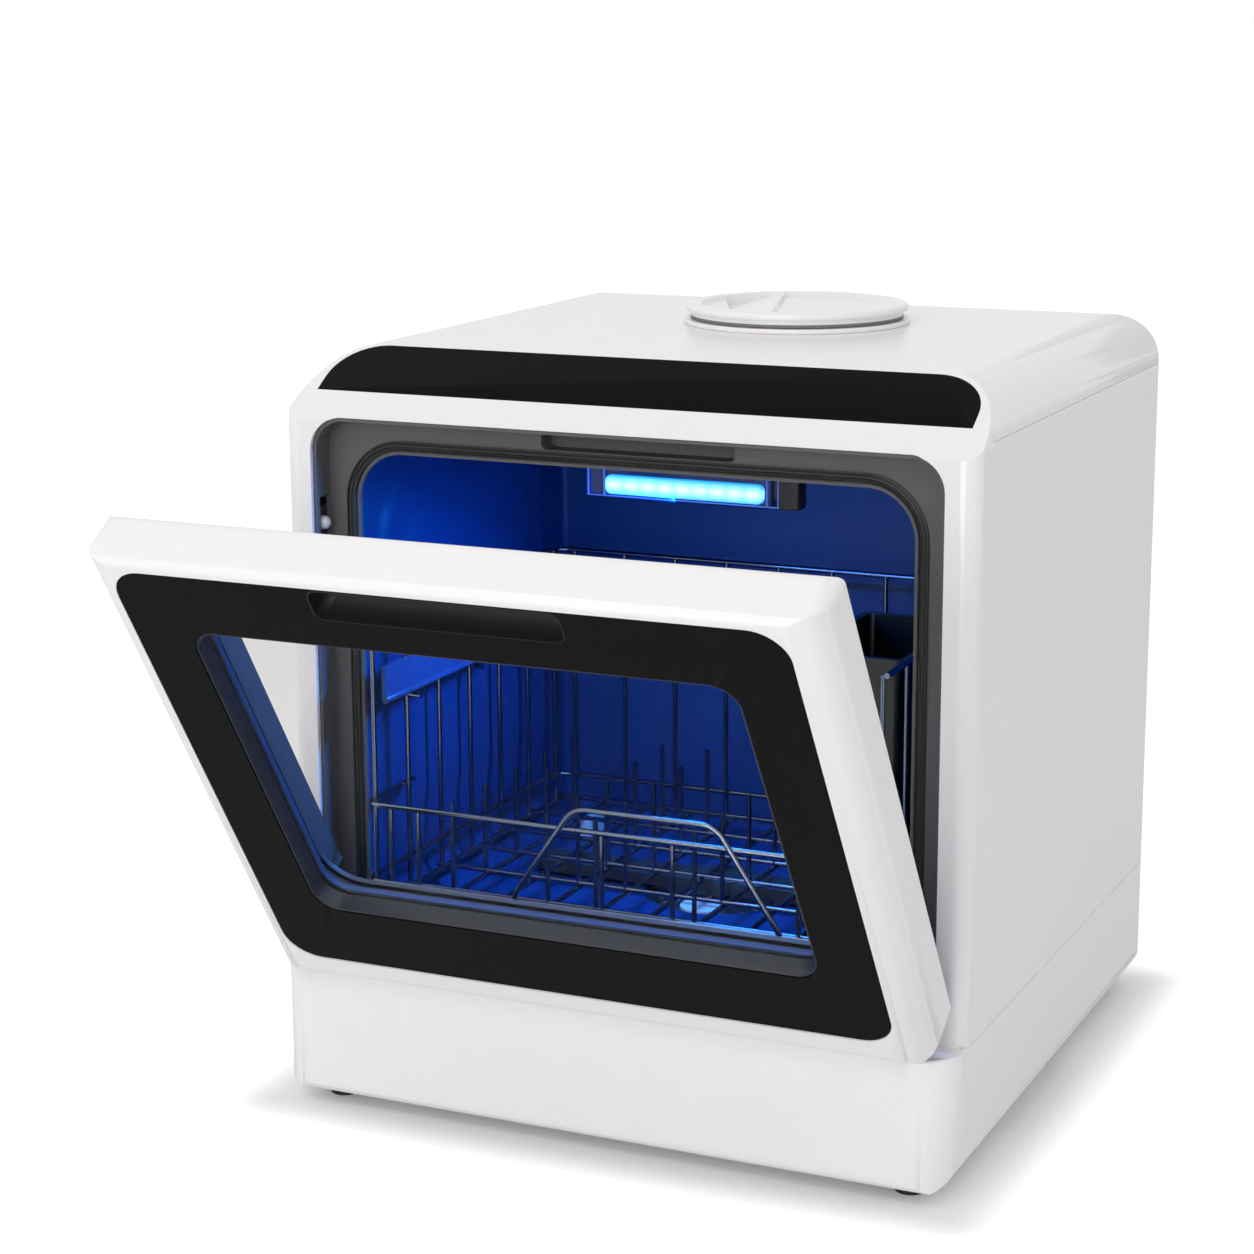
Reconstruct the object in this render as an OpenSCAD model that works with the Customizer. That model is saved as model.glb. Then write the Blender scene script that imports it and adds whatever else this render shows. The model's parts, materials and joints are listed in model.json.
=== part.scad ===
// Countertop dishwasher: a drop-down glazed door, a lit wash tub with a wire rack,
// a tank filled through a cap in the top, and the pumps in the base under the tub.
// X runs to the right, Y to the back and Z up from the worktop. Millimetres.
// Pieces are drawn with y = 0 at the plinth's front face; place() moves them so that
// the middle of the whole object, with its door ajar, is at y = 0.

/* [Cabinet] */
// Width of the cabinet
body_w = 420; // [400:1:460]
// Depth from the plinth's front face to the casing's back
body_d = 410; // [396:1:450]
// Height of the flat top above the worktop
body_h = 447; // [440:1:480]
// Height of the feet
foot_h = 8; // [6:0.5:12]
// Height of the seam between base tray and casing
base_top = 86; // [84:0.5:90]
// Distance of the side seam between casing and top cover below the top
seam_down = 31; // [28:0.5:35]
// Wall of the plastic shells
shell_t = 3; // [2.5:0.1:3.5]
// Radius of the long top edges
top_r = 33; // [28:1:36]
// Radius of the rear upright edges
rear_r = 6; // [4:1:18]
// Radius of the plinth's front upright edges
plinth_r = 25; // [20:1:28]
// Radius of the base tray's bottom edges
base_r = 18; // [14:1:22]

/* [Front frame] */
// Distance from the plinth's front face back to the frame's front face
frame_y = 28; // [26:0.5:34]
// Radius of the frame's outer edge
frame_r = 10; // [8:0.5:12]
// Width of the frame beside the door opening
frame_side = 18; // [16:0.5:24]
// Height of the opening's lower edge above the base tray
mouth_up = 14; // [12:0.5:16]
// Distance of the opening's upper edge below the top
mouth_down = 36; // [35:0.5:39]
// Corner radius of the opening
mouth_r = 20; // [16:1:24]
// Height lost by the sloping front edge of the top
slope_drop = 37.5; // [34:0.5:40]
// Depth of the sloping front edge of the top
slope_run = 59; // [54:1:64]

/* [Control panel] */
// Distance of the black glass panel from the cabinet's sides
panel_side = 11; // [9:0.5:20]
// Distance from the frame's front face back to the panel's lower edge
panel_back = 22.5; // [22:0.5:28]
// Radius of the panel's upper corners
panel_r = 30; // [24:1:32]
// Thickness of the panel glass
panel_t = 3; // [2.5:0.1:3.4]

/* [Wash tub] */
// Distance of the tub's inside from the cabinet's sides
tub_side = 40; // [38:0.5:45]
// Room behind the tub for the tank and the fan
tub_behind = 93; // [90:1:100]
// Height of the tub's floor above the base tray
tub_up = 18; // [16:0.5:20]
// Distance of the tub's ceiling below the top
tub_down = 58; // [57:0.5:63]
// Corner radius of the tub
tub_r = 28; // [20:1:32]
// Wall of the tub
tub_t = 2; // [1.6:0.1:2.4]
// Height of the sill above the tub's floor, which keeps the water in
sill_up = 7; // [5:0.5:7.5]
// Depth of the recess that the door closes into
seat_depth = 18; // [17:0.5:20]
// Width of the rubber gasket's band
gasket_w = 8; // [6:0.5:9]

/* [Door] */
// Distance of the door's sides from the cabinet's sides
door_side = 6; // [5.6:0.1:8]
// Height of the door above the opening's upper edge
door_lap = 12.5; // [10:0.5:14]
// Thickness of the door at its edge
door_t = 38; // [36:0.5:39]
// How far the closed door stands ahead of the plinth
door_ahead = 14; // [12:0.5:14.5]
// Gap between the plinth's top and the door
door_gap = 2.5; // [2:0.1:4]
// Distance of the hinge axis from the door's front and bottom faces
pivot_in = 8; // [7:0.5:9]
// Angle that the door stands open at rest
door_ajar = 33; // [20:0.1:45]
// Radius of the door's corners
door_r = 9; // [6:0.5:14]
// Radius of the door's front upright edges
door_edge = 22; // [16:1:24]
// Distance of the black trim from the door's sides
trim_side = 17.5; // [15:0.5:21]
// Distance of the trim's lower edge above the door's bottom
trim_low = 18.5; // [15:0.5:20]
// Distance of the trim's upper edge below the door's top
trim_down = 6; // [5.5:0.5:12]
// Radius of the trim's corners
trim_r = 20; // [14:1:24]
// Distance of the window from the door's sides
window_side = 50.8; // [46:0.2:56]
// Distance of the window's lower edge above the door's bottom
window_low = 65.5; // [60:0.5:70]
// Distance of the window's upper edge below the door's top
window_down = 47; // [45:0.5:56]
// Radius of the window's corners
window_r = 16; // [10:1:20]
// Length of the recessed handle
handle_w = 140; // [130:1:180]
// Height of the recessed handle
handle_h = 21; // [16:0.5:22]
// Depth of the recessed handle
handle_d = 17; // [12:0.5:19]

/* [Inlet cap] */
// Diameter of the cap
cap_d = 139; // [124:1:144]
// Distance of the cap's centre to the right of the middle
cap_x = 9; // [0:1:14]
// Distance of the cap's centre from the casing's back
cap_back = 124; // [112:1:136]
// Height of the cap's edge
cap_h = 7; // [6:0.5:9]

/* [Rack] */
// Diameter of the rack's wires
wire_d = 3.4; // [3:0.1:4]
// Gap between the rack and the tub's side walls
rack_side = 8; // [7:0.5:12]
// Distance of the rack's front behind the plinth's front face
rack_y = 24; // [23:0.5:27]
// Height of the rack's floor wires above the tub's floor
rack_up = 15; // [14.5:0.5:17]
// Height of the low front rail above the rack's floor wires
rail_low_up = 18; // [14:1:22]
// Height of the upper front rail above the rack's floor wires
rail_high_up = 65; // [58:1:70]
// Height of the side and rear rails above the rack's floor wires
rail_top_up = 171; // [160:1:180]
// How far the rack can be pushed back
rack_travel = 26; // [20:1:27]

/* [Lamp] */
// Length of the lamp's housing
lamp_w = 136; // [128:1:150]
// Height of the lamp's housing
lamp_h = 34; // [30:1:38]
// Depth of the lamp's housing
lamp_d = 14; // [12:0.5:16]
// Length of the lamp's lens
lens_w = 102; // [92:1:112]
// Height of the lamp's lens
lens_h = 13; // [10:0.5:18]

/* [Hidden] */
$fn = 64;

// Small clearances
fit = 0.2;          // between pieces that are slid into each other and screwed down
run = 0.05;         // radial clearance of a turning or sliding pin in its bore
free_gap = 0.6;     // between pieces that move past each other

// Cabinet
half_w = body_w / 2;
seam_z = body_h - seam_down;
mouth_w = body_w - 2 * frame_side;
mouth_low = base_top + mouth_up;
mouth_high = body_h - mouth_down;
panel_w = body_w - 2 * panel_side;
slope = atan(slope_drop / slope_run);
slope_z = body_h - slope_drop;
panel_y = frame_y + panel_back;
panel_z = slope_z + panel_back * tan(slope);
cap_y = body_d - cap_back;
back_t = 1.6;
back_rim = 24;
inlet_reach = 14;

// Tub
seat_y = frame_y + seat_depth;
seat_t = 3;
tub_w = body_w - 2 * tub_side;
tub_y = seat_y + seat_t;
tub_end = body_d - tub_behind;
tub_d = tub_end - tub_y;
tub_mid = tub_y + tub_d / 2;
tub_floor = base_top + tub_up;
tub_top = body_h - tub_down;
sill_z = tub_floor + sill_up;
gasket_t = 2.4;

// Door, drawn closed and then opened by door_ajar
pivot_y = pivot_in - door_ahead;
door_z = base_top + door_gap;
pivot_z = door_z + pivot_in;
door_back = door_t - door_ahead;
door_w = body_w - 2 * door_side;
door_h = mouth_high + door_lap - door_z;
trim_w = door_w - 2 * trim_side;
trim_high = door_h - trim_down;
window_w = door_w - 2 * window_side;
window_high = door_h - window_down;
lip_r = 5;
rear_lip = 8;
front_y = pivot_y - (door_h - pivot_in - lip_r) * sin(door_ajar)
    - (pivot_in - lip_r) * cos(door_ajar) - lip_r;
rear_y = body_d + back_t + inlet_reach;
middle_y = (front_y + rear_y) / 2;

// Door layers, as depths behind the door's front face
trim_in = 0.8;
trim_t = 6;
glass_t = 3;
pane_in = 13;
inner_pane_in = 26;
inner_skin = 32;
shell_ring = 5;
trim_lap = 4;
plug_end = door_ahead + seat_y - gasket_t - free_gap;

// Hinge
arm_x = door_w / 2 - 23;
arm_t = 6;
slot_side = 1;
pin_r = 2.5;

// Sump and pumps
sump_r = 46;
sump_low = 52;
post_r = 9;
pump_z = foot_h + shell_t + 34;

module place() { translate([0, -middle_y, 0]) children(); }
module on_door() {
    place() translate([0, pivot_y, pivot_z]) rotate([door_ajar, 0, 0])
        translate([0, -pivot_y, -pivot_z]) children();
}
module both_sides() { children(); mirror([1, 0, 0]) children(); }
// Stands a drawing of X and Z along Y, from y0 to y1
module along_y(y0, y1) { translate([0, y1, 0]) rotate([90, 0, 0]) linear_extrude(y1 - y0) children(); }
// Stands a drawing of Y and Z along X, from x0 to x1
module along_x(x0, x1) { translate([x0, 0, 0]) rotate([90, 0, 90]) linear_extrude(x1 - x0) children(); }
module box(low, high) { translate(low) cube(high - low); }
// Rectangle with its corners rounded, from its low corner to its high corner
module panel(low, high, r) {
    size = high - low;
    translate(low + [r, 0]) square([size[0] - 2 * r, size[1]]);
    translate(low + [0, r]) square([size[0], size[1] - 2 * r]);
    for (x = [low[0] + r, high[0] - r], y = [low[1] + r, high[1] - r]) translate([x, y]) circle(r);
}
// Rectangle about the middle of the cabinet, in X and Z
module window_shape(w, low, high, r) { panel([-w / 2, low], [w / 2, high], r); }
// Round bar from one point to another along X, Y or Z
module bar_x(x0, x1, y, z, r) { translate([x0, y, z]) rotate([0, 90, 0]) cylinder(h = x1 - x0, r = r); }
module bar_y(x, y0, y1, z, r) { translate([x, y1, z]) rotate([90, 0, 0]) cylinder(h = y1 - y0, r = r); }
module bar_z(x, y, z0, z1, r) { translate([x, y, z0]) cylinder(h = z1 - z0, r = r); }

// Outline of the cabinet from above, with its own front edge and front corners
module plan(y0, r, in) {
    intersection() {
        panel([in - half_w, y0 + in], [half_w - in, body_d + body_h], max(r - in, 1));
        panel([in - half_w, y0 - body_h], [half_w - in, body_d - in], max(rear_r - in, 1));
    }
}
// Outline of the cabinet from the front
module elevation(in) {
    intersection() {
        panel([in - half_w, foot_h + in], [half_w - in, body_h + body_w], base_r - in);
        panel([in - half_w, -body_w], [half_w - in, body_h - in], top_r - in);
    }
}
// Outline of the cabinet from the side: plinth, upright frame and the slope over it
module profile(y0, in) {
    lift = in / cos(slope);
    intersection() {
        panel([y0 + in, foot_h + in], [body_d - in, body_h - in], base_r / 2);
        polygon([[y0 - 1, foot_h], [body_d + 1, foot_h], [body_d + 1, body_h + 1],
            [frame_y + slope_run + (lift + 1) * slope_run / slope_drop, body_h + 1],
            [frame_y, slope_z - lift], [y0 - 1, slope_z - lift - (frame_y - y0 + 1) * tan(slope)]]);
    }
}
module block(y0, r, in) {
    intersection() {
        linear_extrude(body_h + 1) plan(y0, r, in);
        along_y(-1, body_d + 1) elevation(in);
        along_x(-half_w, half_w) profile(y0, in);
    }
}
// Side view of everything above the seam: level at the sides, along the panel's foot in front
module above_seam(up) {
    along_x(-body_w, body_w) polygon([
        [-body_d, panel_z + up], [panel_y - 1, panel_z + up], [panel_y + 3, seam_z + up],
        [2 * body_d, seam_z + up], [2 * body_d, 2 * body_h], [-body_d, 2 * body_h]]);
}
// Puts a drawing onto the slope: its Y runs up the slope, its Z stands out of it
module on_slope() { translate([0, frame_y, slope_z]) rotate([slope, 0, 0]) children(); }
slope_low = panel_back / cos(slope);
slope_len = slope_run / cos(slope) - 1;
module panel_shape(in) {
    intersection() {
        panel([in - panel_w / 2, slope_low - panel_w], [panel_w / 2 - in, slope_len - in], panel_r - in);
        translate([-panel_w, slope_low + in]) square([2 * panel_w, panel_w]);
    }
}

// ---- base ----
arch_low = 128;
arch_high = 238;
module arch(grow) {
    for (side = [-1, 1]) translate([side * half_w, 0, 0])
        box([-26 - grow, arch_low - grow, -1], [26 + grow, arch_high + grow, foot_h + 8 + grow]);
}
deck_y = frame_y + shell_t;
// Trough in the deck behind the plinth's lip, under the door's foot
trough_y = 13;
trough_d = 6;
module trough(grow) {
    intersection() {
        translate([0, 0, base_top - trough_d - grow]) linear_extrude(trough_d + grow + 1)
            plan(0, plinth_r, shell_t - grow);
        box([-body_w, -1, 0], [body_w, trough_y + grow, base_top + 1]);
    }
}
module base_pan() place() color("white") difference() {
    intersection() {
        block(0, plinth_r, 0);
        box([-body_w, -1, 0], [body_w, body_d + 1, base_top]);
    }
    difference() {
        intersection() {
            block(0, plinth_r, shell_t);
            union() {
                box([-body_w, -1, 0], [body_w, deck_y, base_top - shell_t]);
                box([-body_w, deck_y - 1, 0], [body_w, body_d + 1, base_top + 1]);
            }
        }
        arch(shell_t);
        trough(shell_t);
    }
    arch(0);
    trough(0);
    seam_groove(base_top, 0, plinth_r);
}
foot_spots = [for (x = [-1, 1], y = [28, arch_high + 12, body_d - 38]) [x * (half_w - 30), y]];
module feet() place() color("dimgray") for (p = foot_spots) translate([p[0], p[1], 0]) {
    cylinder(h = foot_h, r1 = 9, r2 = 10);
}

// ---- casing, cover and back ----
// Shadow line round the cabinet where two shells meet
seam_w = 0.6;
module seam_groove(z, y0, r) {
    difference() {
        box([-body_w, -1, z - seam_w], [body_w, body_d + 1, z]);
        linear_extrude(body_h) plan(y0, r, seam_w);
    }
}
module outer_casing() place() color("white") {
    difference() {
        block(frame_y, frame_r, 0);
        block(frame_y, frame_r, shell_t);
        box([-body_w, -1, 0], [body_w, body_d + 1, base_top]);
        above_seam(0);
        along_y(0, tub_mid) window_shape(mouth_w, mouth_low, mouth_high, mouth_r);
        along_y(tub_mid, body_d + 1) window_shape(body_w - 2 * back_rim, mouth_low, seam_z - 14, mouth_r);
        for (p = screw_spots) bar_y(p[0], body_d - 2 * shell_t, body_d + 1, p[1], screw_r + 0.1);
    }
}
module top_cover() place() color("white") difference() {
    intersection() {
        block(frame_y, frame_r, 0);
        above_seam(0);
    }
    block(frame_y, frame_r, shell_t);
    translate([cap_x, cap_y, body_h - shell_t - 1]) cylinder(h = shell_t + 2, r = neck_r);
    on_slope() translate([0, 0, -2 * shell_t]) linear_extrude(3 * shell_t) panel_shape(-fit);
    intersection() {
        seam_groove(seam_z + seam_w, frame_y, frame_r);
        box([-body_w, panel_y + 3, 0], [body_w, body_d + 1, body_h]);
    }
}
vent_x = half_w - 92;
vent_z = tub_top - 89;
screw_r = 1.6;
screw_x = half_w - back_rim + 4;
screw_spots = [for (x = [-screw_x, 0, screw_x], z = [mouth_low - 5, seam_z - 8]) [x, z],
    for (x = [-screw_x, screw_x]) [x, (mouth_low + seam_z) / 2]];
port_z = mouth_low + 24;
port_x = [150 - half_w, 100 - half_w, 50 - half_w];
port_r = [13.2, 9.5, 7];
louvres = 10;
louvre_w = 64;
louvre_step = 8;
module back_panel() place() color("gainsboro") difference() {
    along_y(body_d, body_d + back_t)
        window_shape(body_w - 2 * rear_r - 4, base_top + 2, seam_z - 2, 6);
    for (i = [0:2]) bar_y(port_x[i], body_d - 1, body_d + 3, port_z, port_r[i]);
    for (p = screw_spots) bar_y(p[0], body_d - 1, body_d + 3, p[1], screw_r + fit);
    for (i = [0:louvres - 1]) translate([vent_x, body_d, vent_z + (i - louvres / 2) * louvre_step])
        box([-louvre_w / 2, -1, 0], [louvre_w / 2, 3, louvre_step / 2]);
}
module back_screws() place() color("silver") for (p = screw_spots) {
    bar_y(p[0], body_d - 8, body_d + back_t, p[1], screw_r);
    difference() {
        bar_y(p[0], body_d + back_t, body_d + back_t + 2, p[1], 3.2);
        for (turn = [0, 90]) translate([p[0], body_d + back_t + 2, p[1]]) rotate([0, turn, 0])
            cube([4, 2, 0.9], center = true);
    }
}
module water_connector() place() color("dimgray") {
    difference() {
        union() {
            bar_y(port_x[0], body_d - 16, rear_y, port_z, port_r[0]);
            bar_y(port_x[0], body_d + back_t, body_d + back_t + 2, port_z, port_r[0] + 4);
        }
        bar_y(port_x[0], body_d - 17, rear_y + 1, port_z, port_r[0] - 3.5);
    }
}
module drain_connector() place() color("dimgray") difference() {
    union() {
        bar_y(port_x[1], body_d - 16, rear_y, port_z, port_r[1]);
        bar_y(port_x[1], body_d + back_t, body_d + back_t + 2, port_z, port_r[1] + 4);
    }
    bar_y(port_x[1], body_d - 17, rear_y + 1, port_z, port_r[1] - 2.2);
}
module cord_gland() place() color("black") difference() {
    union() {
        bar_y(port_x[2], body_d - 8, body_d + back_t + 4, port_z, port_r[2]);
        bar_y(port_x[2], body_d + back_t, body_d + back_t + 3, port_z, port_r[2] + 4);
    }
    bar_y(port_x[2], body_d - 9, body_d + back_t + 5, port_z, 3.6);
}

// ---- control panel ----
module control_glass() place() color("black") on_slope() translate([0, 0, -shell_t])
    linear_extrude(panel_t) panel_shape(0);
carrier_t = 2.5;
carrier_lap = 4;
carrier_rim = 12;
module panel_carrier() place() color("gray") intersection() {
    block(frame_y, frame_r, shell_t);
    on_slope() translate([0, 0, -shell_t - carrier_t]) linear_extrude(carrier_t) difference() {
        intersection() {
            panel_shape(-carrier_lap);
            translate([-panel_w, 0]) square([2 * panel_w, slope_len]);
        }
        intersection() {
            panel_shape(carrier_rim);
            square([board_w - carrier_rim, 4 * slope_len], center = true);
        }
    }
}
board_w = 200;
board_t = 1.6;
module control_board() place() color("darkgreen") on_slope() {
    translate([-board_w / 2, slope_low + 9, -shell_t - carrier_t - board_t])
        cube([board_w, slope_len - slope_low - 18, board_t]);
    for (i = [-3:3]) translate([i * 24, (slope_low + slope_len) / 2, -shell_t - carrier_t])
        cylinder(h = carrier_t, r = 4);
}

// ---- door seat, gasket and tub ----
hook_w = 118;
hook_h = 12;
hook_x = 7;
hook_in = 13;
seat_top = mouth_high - fit;
seat_wall = 2;
latch_z = mouth_high - 64;
latch_y = frame_y + 12;
latch_slot = 16;
gasket_top = tub_top + gasket_w - 2;
module mouth_plate(in, r_in) {
    window_shape(mouth_w - 2 * fit - 2 * in, mouth_low + fit + in, seat_top - in, mouth_r - fit - r_in);
}
module tub_mouth(grow) {
    window_shape(tub_w + 2 * grow, sill_z - grow, tub_top + grow, tub_r + grow);
}
module door_seat_flange() place() color("#4a4a4a") difference() {
    union() {
        along_y(frame_y + shell_t, tub_y) mouth_plate(0, 0);
        translate([hook_x, 0, 0]) along_y(seat_y, seat_y + hook_in + 2)
            window_shape(hook_w + 4, seat_top - hook_h - 3, seat_top - 0.8, 6);
        both_sides() translate([mouth_w / 2, frame_y + shell_t, 0])
            box([-2, 0, sill_z], [4, seat_depth + seat_t - shell_t, latch_z - latch_slot - 8]);
        box([30 - mouth_w / 2, frame_y + shell_t, base_top + 4],
            [mouth_w / 2 - 30, frame_y + 2 * shell_t, mouth_low + 2]);
    }
    difference() {
        along_y(frame_y, seat_y) mouth_plate(seat_wall, seat_wall);
        box([-body_w, frame_y, 0], [body_w, tub_y, sill_z - 2]);
    }
    along_y(frame_y, tub_end) tub_mouth(0);
    translate([hook_x, 0, 0]) along_y(seat_y - 1, seat_y + hook_in)
        window_shape(hook_w, seat_top - hook_h - 1, seat_top - 3, 3.5);
    for (side = [-1, 1]) translate([side * (mouth_w / 2), 0, 0])
        box([-6, latch_y - 6, latch_z - latch_slot], [6, latch_y + 4.5, latch_z + latch_slot]);
}
module door_gasket() place() color("#141414") {
    difference() {
        along_y(seat_y - gasket_t, seat_y) tub_mouth(gasket_w);
        along_y(seat_y - gasket_t - 1, seat_y + 1) tub_mouth(2);
        box([-body_w, 0, 0], [body_w, tub_y, sill_z + 3]);
    }
}
module wash_tub() place() color("#5f7fb8") difference() {
    along_y(tub_y, tub_end + tub_t)
        window_shape(tub_w + 2 * tub_t, tub_floor - tub_t, tub_top + tub_t, tub_r + tub_t);
    along_y(tub_y + tub_t, tub_end) window_shape(tub_w, tub_floor, tub_top, tub_r);
    along_y(tub_y - 1, tub_y + tub_t + 1) tub_mouth(0);
    bar_z(0, tub_mid, tub_floor - tub_t - 1, tub_floor + 1, sump_r);
    bar_y(0, tub_end - 1, tub_end + tub_t + 1, nozzle_z, nozzle_r);
    bar_y(vent_x, tub_end - 1, tub_end + tub_t + 1, vent_z, 16);
}

// ---- water path ----
module sump() place() color("#3a3a3a") difference() {
    union() {
        bar_z(0, tub_mid, sump_low, tub_floor - tub_t, sump_r - fit + 2);
        bar_z(0, tub_mid, tub_floor - tub_t - 3, tub_floor - tub_t, sump_r + 8);
    }
    bar_z(0, tub_mid, sump_low + 3, hub_z, sump_r - 5);
    bar_z(0, tub_mid, hub_z - 0.1, tub_floor + 1, sump_r - 1);
    bar_x(-sump_r - 6, -sump_r / 2, tub_mid, pump_z + port_rise, wash_hose_r);
    bar_x(sump_r / 2, sump_r + 6, tub_mid, pump_z + port_rise, drain_hose_r);
}
hub_z = tub_floor - 5;
filter_t = 1.6;
filter_r = 12;
filter_ahead = 25;
module filter_plate() place() color("silver") difference() {
    bar_z(0, tub_mid, hub_z, hub_z + filter_t, sump_r - 1 - fit);
    bar_z(0, tub_mid, hub_z - 1, hub_z + 3, post_r + fit);
    translate([0, tub_mid - filter_ahead, hub_z - 1]) cylinder(h = 4, r = filter_r + free_gap);
    for (a = [0:15:345]) if (abs(a - 270) > 40)
        rotate_spot(a, sump_r - 10, hub_z) cylinder(h = 4, r = 1.6, center = true);
}
module rotate_spot(a, r, z) { translate([r * cos(a), tub_mid + r * sin(a), z]) children(); }
module filter_basket() place() color("lightgray") translate([0, tub_mid - filter_ahead, 0]) difference() {
    union() {
        translate([0, 0, sump_low + 8]) cylinder(h = hub_z + filter_t - sump_low - 8, r = filter_r);
        translate([0, 0, hub_z + filter_t + free_gap]) cylinder(h = 1.4, r = filter_r + 2);
        translate([0, 0, hub_z + 1]) cylinder(h = 2, r = filter_r);
        translate([-1.2, -11, hub_z + 3]) cube([2.4, 22, 3.4]);
    }
    translate([0, 0, sump_low + 10]) cylinder(h = hub_z - sump_low - 12, r = filter_r - 1.5);
    for (a = [0:45:135], z = [sump_low + 16:8:hub_z - 10]) translate([0, 0, z]) rotate([0, 0, a])
        cube([30, 3, 4], center = true);
}
module spray_post() place() color("dimgray") difference() {
    union() {
        bar_z(0, tub_mid, sump_low + 3, arm_z - free_gap, post_r);
        bar_z(0, tub_mid, arm_z - free_gap, arm_z + 5.4, 6);
    }
    bar_z(0, tub_mid, sump_low + 2, arm_z + 6, 4.4);
}
arm_len = tub_d - 20;
arm_w = 26;
arm_z = tub_floor + 2.6;
jets = 4;
jet_start = 22;
jet_step = 21;
jet_side = 4.5;
jet_r = 1.5;
module spray_arm() place() color("#444648") translate([0, tub_mid, arm_z]) difference() {
    union() {
        linear_extrude(7) {
            translate([-arm_len / 2 + arm_w / 2, -arm_w / 2]) square([arm_len - arm_w, arm_w]);
            for (x = [-1, 1]) translate([x * (arm_len - arm_w) / 2, 0]) circle(arm_w / 2);
        }
        cylinder(h = 8.2, r = 19);
    }
    translate([0, 0, -1]) cylinder(h = 7, r = 6 + run);
    for (x = [-1, 1], i = [1:jets]) translate([x * (jet_start + i * jet_step), (i % 2 - 0.5) * 2 * jet_side, 4])
        cylinder(h = 4, r = jet_r);
}
module top_nozzle() place() color("dimgray") difference() {
    union() {
        bar_z(0, tub_mid, tub_top - 9, tub_top, 22);
        bar_y(0, tub_mid, tub_end, nozzle_z, nozzle_r);
    }
    for (a = [0:45:315]) rotate_spot(a, 15, tub_top - 9) cylinder(h = 6, r = 1.4, center = true);
}
feed_y = tub_end + tub_t + 8;
feed_r = 6.4;
nozzle_r = 6;
nozzle_z = tub_top - 8;
wash_hose_r = 11;
drain_hose_r = 8;
wash_r = 30;
// ---- lamp, under the ceiling near the front ----
lamp_x = 2;
lamp_y = tub_mid - 50;
lens_lip = 2.5;
lamp_back = lamp_y + lamp_d - lens_lip;
lens_x = lamp_x - 5;
lens_low = tub_top - lamp_h + lens_lip;
lens_high = lens_low + lens_h;
lens_t = 4;
led_step = 11;
led_size = 4;
// Box along the lamp's lens, with its ends, bottom and top drawn in
module along_lens(in, y0, y1) {
    box([lens_x - lens_w / 2 + in, y0, lens_low + in], [lens_x + lens_w / 2 - in, y1, lens_high - in]);
}
module lamp_housing() place() color("#26304a") difference() {
    box([lamp_x - lamp_w / 2, lamp_y, tub_top - lamp_h], [lamp_x + lamp_w / 2, lamp_y + lamp_d, tub_top]);
    along_lens(0, lamp_y - 1, lamp_back);
}
module lamp_lens() place() color("cyan") along_lens(fit / 2, lamp_y, lamp_y + lens_t);
module lamp_board() place() color("white") {
    along_lens(1, lamp_back - board_t, lamp_back);
    for (i = [-4:4]) translate([lens_x + i * led_step, lamp_back - board_t - 1, (lens_low + lens_high) / 2])
        cube([led_size, 2, led_size], center = true);
}

// ---- pumps and heater in the base ----
wash_x = -sump_r - 58;
drain_x = sump_r + 50;
wash_end = wash_x + 30;
wash_in = 14;
wash_out = 24;
pump_wall = 3;
can_r = 26;
can_len = 60;
shaft_r = 3;
drain_r = 22;
drain_in = 14;
drain_out = 12;
drain_port = 28;
drain_can_r = 20;
drain_can_len = 40;
drain_shaft_r = 2;
module wash_pump_housing() place() color("#2c2c2c") difference() {
    union() {
        bar_x(wash_x - wash_in, wash_x + wash_out, tub_mid, pump_z, wash_r);
        bar_x(wash_x + wash_out, wash_end, tub_mid, pump_z, wash_hose_r + 2);
        box([wash_x - 10, tub_mid - 24, foot_h + shell_t], [wash_x + 20, tub_mid + 24, pump_z - 20]);
    }
    bar_x(wash_x - wash_in + pump_wall, wash_x + wash_out - pump_wall,
        tub_mid, pump_z, wash_r - pump_wall);
    bar_x(wash_x - wash_in - 1, wash_x, tub_mid, pump_z, shaft_r + 2);
    bar_x(wash_x + 20, wash_end + 1, tub_mid, pump_z, wash_hose_r - 2);
}
module wash_impeller() place() color("ivory") {
    bar_x(wash_x - 34, wash_x + 4, tub_mid, pump_z, shaft_r);
    bar_x(wash_x - 6, wash_x - 3, tub_mid, pump_z, wash_r - pump_wall - 5);
    bar_x(wash_x - 6, wash_x + 12, tub_mid, pump_z, 7);
    for (a = [0:60:300]) translate([wash_x - 4, tub_mid, pump_z]) rotate([a, 0, 0])
        translate([0, -1.2, 4]) cube([14, 2.4, 17]);
}
module wash_pump_motor() place() color("silver") difference() {
    bar_x(wash_x - wash_in - can_len, wash_x - wash_in, tub_mid, pump_z, can_r);
    bar_x(wash_x - 40, wash_x - wash_in + 1, tub_mid, pump_z, shaft_r + run);
}
module drain_pump_housing() place() color("#2c2c2c") difference() {
    union() {
        bar_x(drain_x - drain_in, drain_x + drain_out, tub_mid, pump_z, drain_r);
        bar_x(drain_x - drain_port, drain_x - drain_in, tub_mid, pump_z, drain_hose_r + 2);
        box([drain_x - 10, tub_mid - 16, foot_h + shell_t], [drain_x + 8, tub_mid + 16, pump_z - 14]);
    }
    bar_x(drain_x - drain_in + pump_wall, drain_x + drain_out - pump_wall,
        tub_mid, pump_z, drain_r - pump_wall);
    bar_x(drain_x + drain_out - 4, drain_x + drain_out + 1, tub_mid, pump_z, drain_shaft_r + 2);
    bar_x(drain_x - drain_port - 1, drain_x - 10, tub_mid, pump_z, drain_hose_r - 1);
}
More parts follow.
